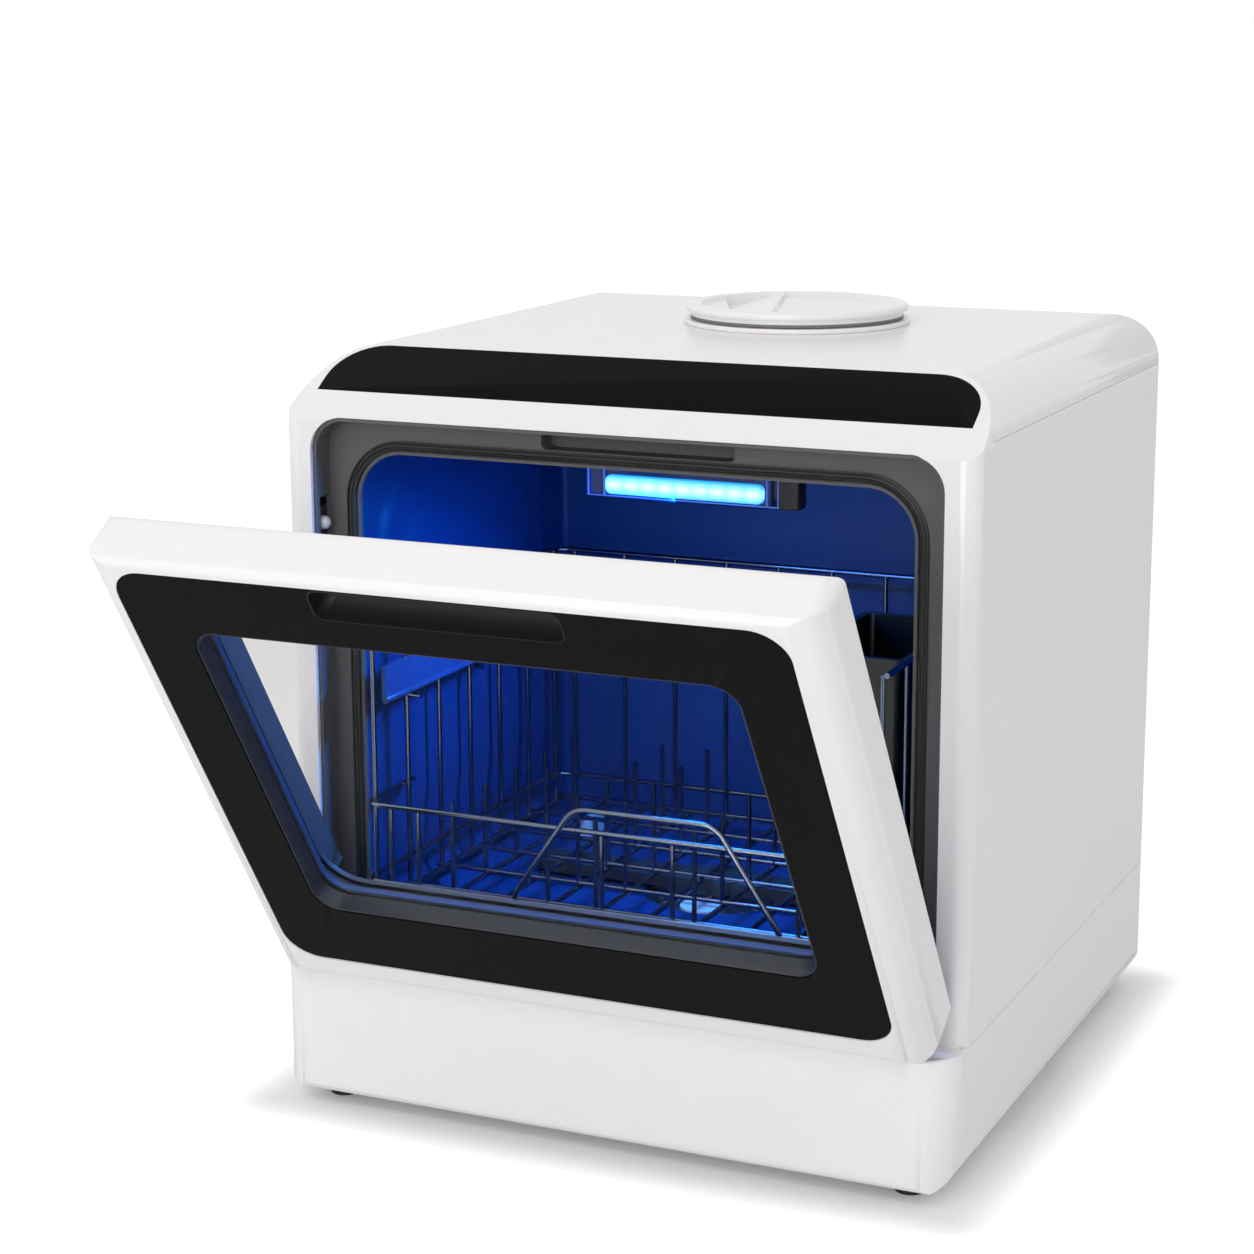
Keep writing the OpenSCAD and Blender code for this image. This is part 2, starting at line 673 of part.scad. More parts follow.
module drain_impeller() place() color("ivory") {
    bar_x(drain_x - 2, drain_x + 28, tub_mid, pump_z, drain_shaft_r);
    bar_x(drain_x + 2, drain_x + 6, tub_mid, pump_z, 8);
    for (a = [0:90:270]) translate([drain_x - 6, tub_mid, pump_z]) rotate([a, 0, 0])
        translate([0, -1, 0]) cube([10, 2, 15]);
}
module drain_pump_motor() place() color("silver") difference() {
    bar_x(drain_x + drain_out, drain_x + drain_out + drain_can_len, tub_mid, pump_z, drain_can_r);
    bar_x(drain_x + drain_out - 1, drain_x + 32, tub_mid, pump_z, drain_shaft_r + run);
}
heat_y = tub_mid + 84;
heat_end = 67;
heater_r = 17;
hose_lap = 1.4;
module flow_heater() place() color("silver") {
    bar_x(7 - heat_end, heat_end - 7, heat_y, pump_z, heater_r);
    bar_x(-heat_end, heat_end, heat_y, pump_z, heater_r - 8);
    for (x = [-45, 45]) box([x - 5, heat_y - 14, foot_h + shell_t], [x + 5, heat_y + 14, pump_z - 10]);
}
// Straight runs of hose with a ball at each bend: pump inlet, drain, pump to heater, heater to nozzle
feed_x = 78;
port_rise = 26;
module pump_hoses() place() color("#1c1c1c") {
    bend = wash_end + wash_hose_r + 1;
    bar_x(wash_end, bend, tub_mid, pump_z, wash_hose_r);
    bar_z(bend, tub_mid, pump_z, pump_z + port_rise, wash_hose_r);
    bar_x(bend, hose_lap - sump_r, tub_mid, pump_z + port_rise, wash_hose_r);
    for (z = [pump_z, pump_z + port_rise]) translate([bend, tub_mid, z]) sphere(wash_hose_r);
    lift = drain_x - 36;
    bar_x(lift, drain_x - drain_port, tub_mid, pump_z, drain_hose_r);
    bar_z(lift, tub_mid, pump_z, pump_z + port_rise, drain_hose_r);
    bar_x(sump_r - hose_lap, lift, tub_mid, pump_z + port_rise, drain_hose_r);
    for (z = [pump_z, pump_z + port_rise]) translate([lift, tub_mid, z]) sphere(drain_hose_r);
    bar_y(wash_x + 5, tub_mid + wash_r, heat_y, pump_z, feed_r);
    bar_x(wash_x + 5, -heat_end, heat_y, pump_z, feed_r);
    translate([wash_x + 5, heat_y, pump_z]) sphere(feed_r);
    bar_x(heat_end, feed_x, heat_y, pump_z, feed_r);
    bar_y(feed_x, heat_y, feed_y, pump_z, feed_r);
    bar_x(0, feed_x, feed_y, pump_z, feed_r);
    bar_z(0, feed_y, pump_z, nozzle_z, feed_r);
    bar_y(0, tub_end, feed_y, nozzle_z, nozzle_r);
    for (p = [[feed_x, heat_y], [feed_x, feed_y], [0, feed_y]]) translate([p[0], p[1], pump_z]) sphere(feed_r);
    translate([0, feed_y, nozzle_z]) sphere(feed_r);
}

// ---- tank and inlet ----
tank_y = tub_end + tub_t + 4;
tank_high = tub_top + 4;
tank_low = mouth_low + 50;
tank_left = -tub_w / 2;
tank_right = vent_x - 50;
tank_t = 2;
tank_r = 14;
fill_y = tank_y + 40;
fill_r = 12;
chute_w = 32;
chute_end = tank_y + 56;
chute_h = 18;
chute_t = 2;
module tank_block(in) {
    along_y(tank_y + tank_r + in, body_d - shell_t - 4 - in)
        panel([tank_left + in, tank_low + in], [tank_right - in, tank_high - in], tank_r - in);
}
module water_tank() place() color("#dfe8ee") difference() {
    tank_block(0);
    tank_block(tank_t);
    bar_z(cap_x, fill_y, tank_high - 4, tank_high + 1, fill_r);
}
neck_r = cap_d / 2 - 8;
module inlet_funnel() place() color("#e6eaec") difference() {
    union() {
        bar_z(cap_x, cap_y, tank_high + 4, body_h - shell_t, neck_r + 2);
        box([cap_x - chute_w / 2, cap_y, tank_high + 4],
            [cap_x + chute_w / 2, chute_end, tank_high + 4 + chute_h]);
        bar_z(cap_x, fill_y, tank_high - 3, tank_high + 6, fill_r - 1);
    }
    bar_z(cap_x, cap_y, tank_high + 6, body_h, neck_r);
    box([cap_x + chute_t - chute_w / 2, cap_y, tank_high + 4 + chute_t],
        [cap_x - chute_t + chute_w / 2, chute_end - chute_t, tank_high + 4 + chute_h - chute_t]);
    bar_z(cap_x, fill_y, tank_high - 4, tank_high + 8, fill_r - 3);
}
ring_h = 3;
ring_r = cap_d / 2 + 1;
module inlet_ring() place() color("white") translate([cap_x, cap_y, 0]) difference() {
    union() {
        translate([0, 0, body_h]) cylinder(h = ring_h, r = ring_r);
        translate([0, 0, body_h - shell_t - 4]) cylinder(h = shell_t + 4 + 0.1, r = neck_r - fit);
    }
    translate([0, 0, body_h - shell_t - 5]) cylinder(h = shell_t + ring_h + 6, r = neck_r - 4);
}
seal_h = 2;
module inlet_seal() place() color("#6f6f6c") translate([cap_x, cap_y, body_h + ring_h + 0.3]) difference() {
    cylinder(h = seal_h, r = cap_d / 2 - 3);
    translate([0, 0, -1]) cylinder(h = seal_h + 2, r = neck_r - 10);
}
cap_z = body_h + ring_h + 0.3 + seal_h;
grip_r = cap_d / 2 - 7;
module inlet_cap() place() color("white") translate([cap_x, cap_y, 0]) difference() {
    union() {
        translate([0, 0, cap_z]) cylinder(h = cap_h, r = cap_d / 2);
        translate([0, 0, cap_z - 12]) cylinder(h = 12.1, r = neck_r - 10 - free_gap);
    }
    translate([0, 0, cap_z - 13]) cylinder(h = 10, r = neck_r - 14);
    translate([0, 0, cap_z + 1.4]) linear_extrude(cap_h) rotate(-14) intersection() {
        circle(grip_r);
        translate([-grip_r - 14, -grip_r]) square([grip_r + 6, 2 * grip_r]);
        translate([-72, 0]) circle(58);
    }
    translate([0, 0, cap_z + 3]) linear_extrude(cap_h) rotate(-14) difference() {
        circle(grip_r - 2);
        translate([-72, 0]) circle(66);
    }
}

// ---- drying fan and electronics ----
fan_y = tub_end + tub_t + 0.5;
fan_r = 40;
fan_motor_r = 14;
fan_hub_r = 9;
fan_shaft_r = 3;
blade_d = 30;
module fan_housing() place() color("#3a3a3a") difference() {
    along_y(fan_y, body_d - shell_t - 3) union() {
        translate([vent_x, vent_z]) circle(fan_r);
        translate([vent_x, vent_z]) square([fan_r, fan_r + 16]);
    }
    along_y(fan_y + 2, body_d - shell_t - 5) translate([vent_x, vent_z]) circle(fan_r - 4);
    for (a = [30:60:330]) translate([vent_x + 24 * cos(a), body_d, vent_z + 24 * sin(a)]) rotate([90, 0, 0])
        cylinder(h = 14, r = 8);
    bar_y(vent_x, fan_y - 1, fan_y + 3, vent_z, fan_motor_r);
}
module fan_motor() place() color("#202020") {
    bar_y(vent_x, fan_y + 46, body_d - shell_t - 5, vent_z, fan_motor_r);
    bar_y(vent_x, fan_y + 12, fan_y + 46, vent_z, fan_shaft_r - run);
}
module fan_wheel() place() color("ivory") difference() {
    union() {
        bar_y(vent_x, fan_y + 12, fan_y + 14, vent_z, fan_r - 7);
        bar_y(vent_x, fan_y + 8, fan_y + 44, vent_z, fan_hub_r);
        for (a = [0:24:336]) translate([vent_x, fan_y + 13, vent_z]) rotate([0, a, 0])
            translate([fan_r - 16, 0, -0.8]) cube([9, blade_d, 1.6]);
    }
    bar_y(vent_x, fan_y + 11, fan_y + 46, vent_z, fan_shaft_r);
}
power_x = half_w - 100;
power_w = 70;
power_d = 80;
power_z = foot_h + shell_t;
power_top = power_z + 5.6;
coil_step = 17;
coil_w = 12;
module power_board() place() color("darkgreen") translate([power_x, heat_y - 20, 0]) {
    box([0, 0, power_z], [power_w, power_d, power_z + 4]);
    box([6, 6, power_z + 4], [power_w - 6, power_d - 6, power_top]);
    for (i = [0:2]) translate([coil_w + i * coil_step, 14, power_top]) cube([coil_w, 20, 20.4]);
    bar_z(50, 58, power_top, power_top + 30.4, 10);
}

// ---- door catches ----
plunger_r = 4;
plunger_travel = 3;
tip_x = mouth_w / 2 - 5;
catch_x = mouth_w / 2 + 0.4;
catch_end = half_w - shell_t;
module latch_housings() place() color("#333333") both_sides() difference() {
    intersection() {
        box([catch_x, latch_y - 6, latch_z - 10], [catch_end, latch_y + 6, latch_z + 10]);
        linear_extrude(body_h) plan(frame_y, frame_r, shell_t);
    }
    bar_x(catch_x - 1, catch_end - 2, latch_y, latch_z, plunger_r + run);
}
module latch_springs() place() color("silver") both_sides() difference() {
    bar_x(catch_end - 5.2, catch_end - 2, latch_y, latch_z, plunger_r - 0.6);
    bar_x(catch_end - 6, catch_end - 1.9, latch_y, latch_z, plunger_r - 1.6);
}
module plunger() {
    bar_x(tip_x + plunger_r, catch_end - 5.6 - plunger_travel, latch_y, latch_z, plunger_r);
    translate([tip_x + plunger_r, latch_y, latch_z]) sphere(plunger_r);
}
module latch_plunger_right() place() color("lightgray") plunger();
module latch_plunger_left() place() color("lightgray") mirror([1, 0, 0]) plunger();

// ---- hinges ----
module arm_plate() along_x(arm_x - arm_t / 2, arm_x + arm_t / 2) difference() {
    union() {
        translate([pivot_y, pivot_z]) circle(pivot_in - 2.4);
        translate([pivot_y, pivot_z - 3]) square([frame_y - pivot_y - 1, 6]);
        translate([6, base_top]) square([frame_y - 7, pivot_z - base_top]);
    }
    translate([pivot_y, pivot_z]) circle(pin_r + run);
}
module hinge_arm_right() place() color("silver") arm_plate();
module hinge_arm_left() place() color("silver") mirror([1, 0, 0]) arm_plate();
module hinge_pins() on_door() color("silver") both_sides()
    bar_x(arm_x - arm_t / 2 - 9, arm_x + arm_t / 2 + 9, pivot_y, pivot_z, pin_r);
// Room for an arm inside the door, over the whole swing
module arm_slot(grow) {
    both_sides() box([arm_x - arm_t / 2 - slot_side - grow, pivot_y - pivot_in + 1.8, 0],
        [arm_x + arm_t / 2 + slot_side + grow, door_t, pivot_z + pivot_in - 1.6 + grow]);
}

// ---- door ----
door_y0 = -door_ahead;
module door_side_view() {
    union() {
        translate([pivot_y, pivot_z]) circle(pivot_in);
        translate([pivot_y, door_z]) square([door_t - pivot_in, 2 * pivot_in]);
        translate([door_y0, pivot_z]) square([door_t, door_h - pivot_in - rear_lip]);
        translate([door_y0, pivot_z]) square([door_t - rear_lip, door_h - pivot_in - lip_r]);
        translate([door_y0 + lip_r, pivot_z]) square([door_t - lip_r - rear_lip, door_h - pivot_in]);
        translate([door_y0 + lip_r, door_z + door_h - lip_r]) circle(lip_r);
        translate([door_back - rear_lip, door_z + door_h - rear_lip]) circle(rear_lip);
    }
}
module door_from_above(in) {
    panel([in - door_w / 2, door_y0 + in], [door_w / 2 - in, door_back + door_edge + 1], door_edge - in);
}
module door_outline(in, y0, y1) {
    along_y(y0, y1) window_shape(door_w - 2 * in, door_z + in, door_z + door_h - in, door_r - in);
}
// Blocks in the lower corners that hold the hinge pins
module pin_blocks() {
    both_sides() box([arm_x - arm_t / 2 - 11, door_y0, door_z],
        [arm_x + arm_t / 2 + 11, pivot_y + pivot_in, door_z + trim_low - shell_t - 1]);
}
module door_outer_frame() on_door() color("white") difference() {
    intersection() {
        door_outline(0, door_y0, door_back);
        along_x(-door_w / 2, door_w / 2) door_side_view();
        linear_extrude(body_h) door_from_above(0);
    }
    difference() {
        intersection() {
            door_outline(shell_t, door_y0 + shell_t, door_back + 1);
            linear_extrude(body_h) door_from_above(shell_t);
        }
        pin_blocks();
    }
    along_y(door_y0 - 1, door_back + 1)
        window_shape(trim_w, door_z + trim_low, door_z + trim_high, trim_r);
    arm_slot(0);
    both_sides() bar_x(arm_x - arm_t / 2 - 9, arm_x + arm_t / 2 + 9, pivot_y, pivot_z, pin_r);
}
// The window's outline, grown by the lap that holds a pane
glass_lap = 4;
inner_lap = 3;
collar = 6;
// How far the opening widens behind the front pane, and how deep in that starts
flare = 7;
flare_in = 19.5;
module pane_shape(lap) {
    window_shape(window_w + 2 * lap, door_z + window_low - lap, door_z + window_high + lap, window_r + lap);
}
handle_top = door_z + trim_high - 1.6;
handle_r = 6;
ring_top = door_z + min(trim_high + shell_ring, door_h - shell_t - fit);
module handle_hole(grow, y0, y1) {
    along_y(y0, y1) window_shape(handle_w + 2 * grow, handle_top - handle_h - grow,
        handle_top + grow, handle_r + grow);
}
module door_trim() on_door() color("#171717") difference() {
    union() {
        along_y(door_y0 + trim_in, door_y0 + trim_in + trim_t)
            window_shape(trim_w - 2 * fit, door_z + trim_low + fit, door_z + trim_high - fit, trim_r - fit);
        along_y(door_y0 + trim_in + trim_t - 0.1, door_y0 + pane_in)
            pane_shape(glass_lap);
    }
    along_y(door_y0 - 1, door_y0 + pane_in + 1) pane_shape(0);
    handle_hole(0, door_y0 - 1, door_y0 + trim_in + trim_t + 1);
}
module pocket_shell(grow) {
    along_y(door_y0 + trim_in + trim_t, door_y0 + handle_d + 2 + grow)
        window_shape(handle_w + 4 + 2 * grow, handle_top - handle_h - 2 - grow,
            handle_top + 1.4 + grow, handle_r);
}
module handle_pocket() on_door() color("#3c3c3c") difference() {
    pocket_shell(0);
    handle_hole(0, door_y0 + trim_in + trim_t - 1, door_y0 + handle_d);
}
// Tray that closes the door behind; a raised ring on three sides meets the gasket
module door_inner_frame() on_door() color("#8a8f98") difference() {
    union() {
        door_outline(shell_t + fit, door_y0 + inner_skin - shell_t, door_y0 + inner_skin);
        along_y(door_y0 + trim_in + trim_t, door_y0 + inner_skin - 1) difference() {
            window_shape(trim_w + 2 * shell_ring, door_z + trim_low - shell_t,
                ring_top, trim_r + shell_ring);
            window_shape(trim_w - 2 * trim_lap, door_z + trim_low + trim_lap,
                door_z + trim_high - trim_lap, trim_r - trim_lap);
        }
        along_y(door_y0 + pane_in + glass_t, door_y0 + inner_skin) pane_shape(flare + collar);
        along_y(door_y0 + inner_skin - 1, door_y0 + plug_end) difference() {
            tub_mouth(gasket_w - 1);
            tub_mouth(1.5);
            translate([-body_w, 0]) square([2 * body_w, door_z + trim_low + 24]);
        }
    }
    along_y(door_y0, door_y0 + trim_in + trim_t)
        window_shape(trim_w, door_z + trim_low, door_z + trim_high, trim_r);
    along_y(door_y0, door_y0 + flare_in) pane_shape(0);
    along_y(door_y0 + flare_in - 0.1, door_y0 + inner_skin + 1) pane_shape(flare);
    along_y(door_y0 + inner_pane_in, door_y0 + inner_pane_in + glass_t) pane_shape(flare + inner_lap);
    pocket_shell(fit);
    arm_slot(0.4);
}
module door_window_glass() on_door() color("lightblue", 0.4)
    along_y(door_y0 + pane_in, door_y0 + pane_in + glass_t) pane_shape(glass_lap);
module door_inner_glass() on_door() color("lightblue", 0.4)
    along_y(door_y0 + inner_pane_in, door_y0 + inner_pane_in + glass_t) pane_shape(flare + inner_lap);
strike_x = tub_w / 2 + gasket_w - 1;
strike_h = 24;
module door_strikes() on_door() color("silver") both_sides() difference() {
    box([strike_x, latch_y - 5, latch_z - strike_h / 2],
        [tip_x - 0.7, min(latch_y + 3, door_y0 + plug_end), latch_z + strike_h / 2]);
    bar_x(tip_x - 3, tip_x + 1, latch_y - 1, latch_z, 2.4);
}
seal_reach = frame_y - 0.6;
module door_bottom_seal() on_door() color("#141414")
    box([-arm_x + 14, door_y0 + inner_skin, door_z + 4], [arm_x - 14, seal_reach, door_z + 14]);

// ---- rack ----
wire_r = wire_d / 2;
stake_r = wire_r - 0.2;
cross_r = wire_r - 0.1;
tine_r = wire_r - 0.3;
weld = wire_d - 0.4;
rack_w = tub_w - 2 * rack_side;
rack_rest = 5;
rack_end = tub_end - rack_travel - rack_rest;
rack_floor = tub_floor + rack_up;
rail_low = rack_floor + rail_low_up;
rail_high = rack_floor + rail_high_up;
rack_top = rack_floor + rail_top_up;
rack_x = rack_w / 2 - wire_r;
rack_front = rack_y + wire_r;
rack_back = rack_end - wire_r;
side_posts = 7;
side_in = 8;
post_in = 16;
rail_run = 60;
tine_h = 58;
handle_mid = 20;
rear_posts = 9;
front_posts = [post_in - rack_x, 34 - rack_x, handle_mid - 28, handle_mid + 16, rack_x - 48.3, rack_x - 22.3];
cross_wires = 6;
long_wires = 10;
wire_step = (2 * rack_x - 2 * weld) / long_wires;
function side_y(i) = rack_front + side_in + i * (rack_back - rack_front - 2 * side_in) / (side_posts - 1);
function rear_x(i) = post_in - rack_x + i * (2 * rack_x - 2 * post_in) / (rear_posts - 1);
function long_x(i) = weld - rack_x + i * wire_step;
function cross_y(i) = rack_front + weld + i * (rack_back - rack_front - 2 * weld) / cross_wires;
bend_r = 12;
// Quarter bend of wire about an upright line, from the angle turn
module bend(x, y, z, turn) {
    translate([x, y, z]) rotate([0, 0, turn]) rotate_extrude(angle = 90)
        translate([bend_r, 0]) circle(wire_r);
}
// Front or rear rail with its ends bent towards the middle of the rack and run on to y1
module bent_rail(y, z, y1) {
    way = sign(y1 - y);
    bar_x(bend_r - rack_x, rack_x - bend_r, y, z, wire_r);
    for (side = [-1, 1]) {
        turn = way > 0 ? (side > 0 ? 270 : 180) : (side > 0 ? 0 : 90);
        bend(side * (rack_x - bend_r), y + way * bend_r, z, turn);
        bar_y(side * rack_x, min(y + way * bend_r, y1), max(y + way * bend_r, y1), z, wire_r);
    }
}
tine_rows = [for (i = [1, 3, 4, 6]) long_x(i)];
module dish_rack() place() color("silver") {
    bent_rail(rack_front, rail_low, tub_mid);
    bent_rail(rack_back, rail_low, tub_mid);
    for (i = [0:long_wires]) bar_y(long_x(i), rack_front, rack_back, rack_floor, wire_r);
    for (i = [0:cross_wires]) bar_x(-rack_x, rack_x, cross_y(i), rack_floor + weld, cross_r);
    for (x = [-1, 1], i = [0:side_posts - 1])
        bar_z(x * (rack_x - weld), side_y(i), rack_floor, rack_top, stake_r);
    for (i = [0:rear_posts - 1]) bar_z(rear_x(i), rack_back - weld, rack_floor, rack_top, stake_r);
    for (x = front_posts) bar_z(x, rack_front + weld, rack_floor, rail_high, stake_r);
    bent_rail(rack_front, rail_high, rack_front + rail_run);
    bent_rail(rack_back, rack_top, rack_front + 6);
    rack_handle();
    for (i = [1, 3]) bar_x(weld - rack_x, shelf_x + 6, side_y(i), rest_z, tine_r);
    for (x = tine_rows, i = [1:5]) bar_z(x, cross_y(i), rack_floor + weld, rack_floor + tine_h, tine_r);
}
grip_z = rail_high + 13;
grip_top = 44;
grip_foot = 82;
module rack_handle() {
    y = rack_front - 2;
    rise = grip_z - rail_low;
    lean = grip_foot - grip_top;
    bar_x(handle_mid - grip_top, handle_mid + grip_top, y, grip_z, cross_r);
    for (side = [-1, 1]) {
        translate([handle_mid + side * grip_top, y, grip_z]) sphere(wire_r + 0.2);
        translate([handle_mid + side * grip_foot, y, rail_low]) rotate([0, -side * atan(lean / rise), 0])
            cylinder(h = sqrt(rise * rise + lean * lean), r = stake_r);
        bar_z(handle_mid + side * grip_foot, rack_front + weld, rack_floor, rail_low + 4, stake_r);
    }
}
glide_x = rack_x - weld - wire_step;
module rack_glides() place() color("whitesmoke")
    for (x = [-glide_x, glide_x], y = [rack_y + 40, rack_end - 22])
        box([x - 5, y - 10, tub_floor + 0.4], [x + 5, y + 10, rack_floor - wire_r + 0.3]);
shelf_x = -rack_x + weld + wire_r + 0.8;
shelf_low = rack_top - 46;
shelf_h = 20;
shelf_len = 146;
rod_r = 2.2;
shelf_y = rack_front + 14;
rest_z = shelf_low - rod_r - free_gap - tine_r;
module cup_shelf() place() color("#9fb4d8") {
    box([shelf_x, shelf_y, shelf_low], [shelf_x + 2.4, shelf_y + shelf_len, shelf_low + shelf_h]);
    bar_y(shelf_x + rod_r, shelf_y, shelf_y + shelf_len, shelf_low, rod_r);
}
basket_w = 60;
basket_d = 110;
basket_x = rack_x - 8.3 - basket_w;
basket_y = rack_y + 58;
basket_low = rack_floor + weld + wire_r + 0.4;
basket_high = rack_top - 3;
basket_t = 2;
basket_r = 5;
basket_rim = 2.5;
rim_h = 5;
divider_down = 30;
slots = 6;
slot_w = 8;
slot_step = 16;
slot_in = 12;
function slot_y(i) = basket_y + (basket_d - slot_w) / 2 + (i - (slots - 1) / 2) * slot_step;
module upright(z0, z1) { translate([0, 0, z0]) linear_extrude(z1 - z0) children(); }
// The basket's outline from above, grown outward
module basket_shape(grow) {
    panel([basket_x - grow, basket_y - grow],
        [basket_x + basket_w + grow, basket_y + basket_d + grow], basket_r + grow);
}
module cutlery_basket() place() color("#1d2026") difference() {
    union() {
        upright(basket_low, basket_high) basket_shape(0);
        upright(basket_high - rim_h, basket_high) basket_shape(basket_rim);
    }
    difference() {
        upright(basket_low + basket_t, basket_high + 1) basket_shape(-basket_t);
        translate([basket_x, basket_y + (basket_d - basket_t) / 2, 0])
            cube([basket_w, basket_t, basket_high - divider_down]);
    }
    for (i = [0:slots - 1]) translate([basket_x + slot_in, slot_y(i), basket_low - 1])
        cube([basket_w - 2 * slot_in, slot_w, basket_t + 2]);
}

base_pan();
feet();
outer_casing();
top_cover();
back_panel();
back_screws();
control_glass();
panel_carrier();
control_board();
door_seat_flange();
door_gasket();
wash_tub();
filter_plate();
filter_basket();
sump();
spray_post();
spray_arm();
top_nozzle();
lamp_housing();
lamp_lens();
lamp_board();
wash_pump_housing();
wash_pump_motor();
wash_impeller();
drain_pump_housing();
drain_pump_motor();
drain_impeller();
flow_heater();
pump_hoses();
water_tank();
inlet_funnel();
inlet_ring();
inlet_seal();
inlet_cap();
fan_housing();
fan_motor();
fan_wheel();
power_board();
water_connector();
drain_connector();
cord_gland();
latch_housings();
latch_springs();
latch_plunger_left();
latch_plunger_right();
hinge_arm_left();
hinge_arm_right();
hinge_pins();
door_outer_frame();
door_trim();
handle_pocket();
door_inner_frame();
door_window_glass();
door_inner_glass();
door_strikes();
door_bottom_seal();
dish_rack();
rack_glides();
cup_shelf();
cutlery_basket();
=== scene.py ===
import json
import math

import bmesh
import bpy
from mathutils import Matrix, Vector


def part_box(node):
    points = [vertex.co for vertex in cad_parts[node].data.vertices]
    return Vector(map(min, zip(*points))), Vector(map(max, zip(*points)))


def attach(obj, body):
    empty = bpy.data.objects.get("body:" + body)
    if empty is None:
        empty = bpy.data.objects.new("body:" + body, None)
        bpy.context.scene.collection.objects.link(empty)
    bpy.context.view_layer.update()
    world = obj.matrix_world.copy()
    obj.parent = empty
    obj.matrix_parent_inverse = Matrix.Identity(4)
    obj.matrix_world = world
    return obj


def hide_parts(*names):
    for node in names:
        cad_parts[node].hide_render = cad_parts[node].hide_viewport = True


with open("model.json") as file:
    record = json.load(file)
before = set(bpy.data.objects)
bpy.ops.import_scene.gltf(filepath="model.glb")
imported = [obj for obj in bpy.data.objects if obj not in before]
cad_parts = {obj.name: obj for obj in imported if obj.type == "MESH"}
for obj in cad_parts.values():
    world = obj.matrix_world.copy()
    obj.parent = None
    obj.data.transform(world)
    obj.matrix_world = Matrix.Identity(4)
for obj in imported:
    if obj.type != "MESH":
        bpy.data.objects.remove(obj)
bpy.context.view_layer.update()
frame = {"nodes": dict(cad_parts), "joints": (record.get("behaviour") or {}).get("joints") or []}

# ---- Studio ----
# White seamless paper under two large soft lamps in front of the cabinet, one high and one
# low. The camera stands a little above the lid, to the right of the door, with a long lens.
scene = bpy.context.scene
scene.view_settings.view_transform = "Standard"


def linear(hex_colour):
    """A hex sRGB colour as linear red, green, blue and alpha."""
    parts = [int(hex_colour[i:i + 2], 16) / 255 for i in (1, 3, 5)]
    return tuple(c / 12.92 if c <= 0.04045 else ((c + 0.055) / 1.055) ** 2.4 for c in parts) + (1.0,)


def add_node(tree, kind, inputs=None, **settings):
    """Adds a node. An input is a value, or a (node, output) pair that is linked to it."""
    node = tree.nodes.new(kind)
    for name, value in settings.items():
        setattr(node, name, value)
    for name, value in (inputs or {}).items():
        if isinstance(value, tuple) and isinstance(value[0], bpy.types.Node):
            tree.links.new(value[0].outputs[value[1]], node.inputs[name])
        else:
            node.inputs[name].default_value = value
    return node


camera_yaw = math.radians(24.5369)
camera_pitch = math.radians(12.6608)
camera_roll = math.radians(-0.2999)
camera_place = Vector((0.646003, -1.486147, 0.649056))
picture_width = 1254
focal_pixels = 2828.9
sensor = 36.0
camera_data = bpy.data.cameras.new("camera")
camera = bpy.data.objects.new("camera", camera_data)
scene.collection.objects.link(camera)
backward = Vector((math.sin(camera_yaw) * math.cos(camera_pitch),
                   -math.cos(camera_yaw) * math.cos(camera_pitch), math.sin(camera_pitch)))
level = Vector((math.cos(camera_yaw), math.sin(camera_yaw), 0))
upward = backward.cross(level)
camera_right = level * math.cos(camera_roll) + upward * math.sin(camera_roll)
camera_up = upward * math.cos(camera_roll) - level * math.sin(camera_roll)
camera.matrix_world = Matrix.Translation(camera_place) @ Matrix(
    (camera_right, camera_up, backward)).transposed().to_4x4()
camera_data.sensor_width = sensor
camera_data.lens = focal_pixels / picture_width * sensor
camera_data.clip_end = 20
scene.camera = camera

# The room lights the cabinet from all sides; looked at, it is the white of the paper.
world = bpy.data.worlds.new("studio")
scene.world = world
world.use_nodes = True
sky = world.node_tree
sky.nodes.clear()
rays = add_node(sky, "ShaderNodeLightPath")
seen = add_node(sky, "ShaderNodeMath", {0: (rays, "Is Camera Ray"), 1: (rays, "Is Transmission Ray")},
                operation="MAXIMUM")
shown = add_node(sky, "ShaderNodeMath", {0: (seen, 0), 1: (rays, "Is Glossy Ray")}, operation="MAXIMUM")
room = add_node(sky, "ShaderNodeBackground", {"Color": linear("#FCFBFA"), "Strength": 0.74})
white = add_node(sky, "ShaderNodeBackground", {"Color": (1, 1, 1, 1), "Strength": 1.0})
both = add_node(sky, "ShaderNodeMixShader", {"Fac": (shown, 0), 1: (room, 0), 2: (white, 0)})
add_node(sky, "ShaderNodeOutputWorld", {"Surface": (both, 0)})

floor_half = 6
floor_mesh = bpy.data.meshes.new("floor")
floor_mesh.from_pydata([(-floor_half, -floor_half, 0), (floor_half, -floor_half, 0),
                        (floor_half, floor_half, 0), (-floor_half, floor_half, 0)], [], [(0, 1, 2, 3)])
floor = bpy.data.objects.new("floor", floor_mesh)
scene.collection.objects.link(floor)
paper = bpy.data.materials.new("white seamless paper")
paper.use_nodes = True
paper_nodes = paper.node_tree
paper_nodes.nodes.clear()
matte = add_node(paper_nodes, "ShaderNodeBsdfDiffuse", {"Color": linear("#F2F2F2")})
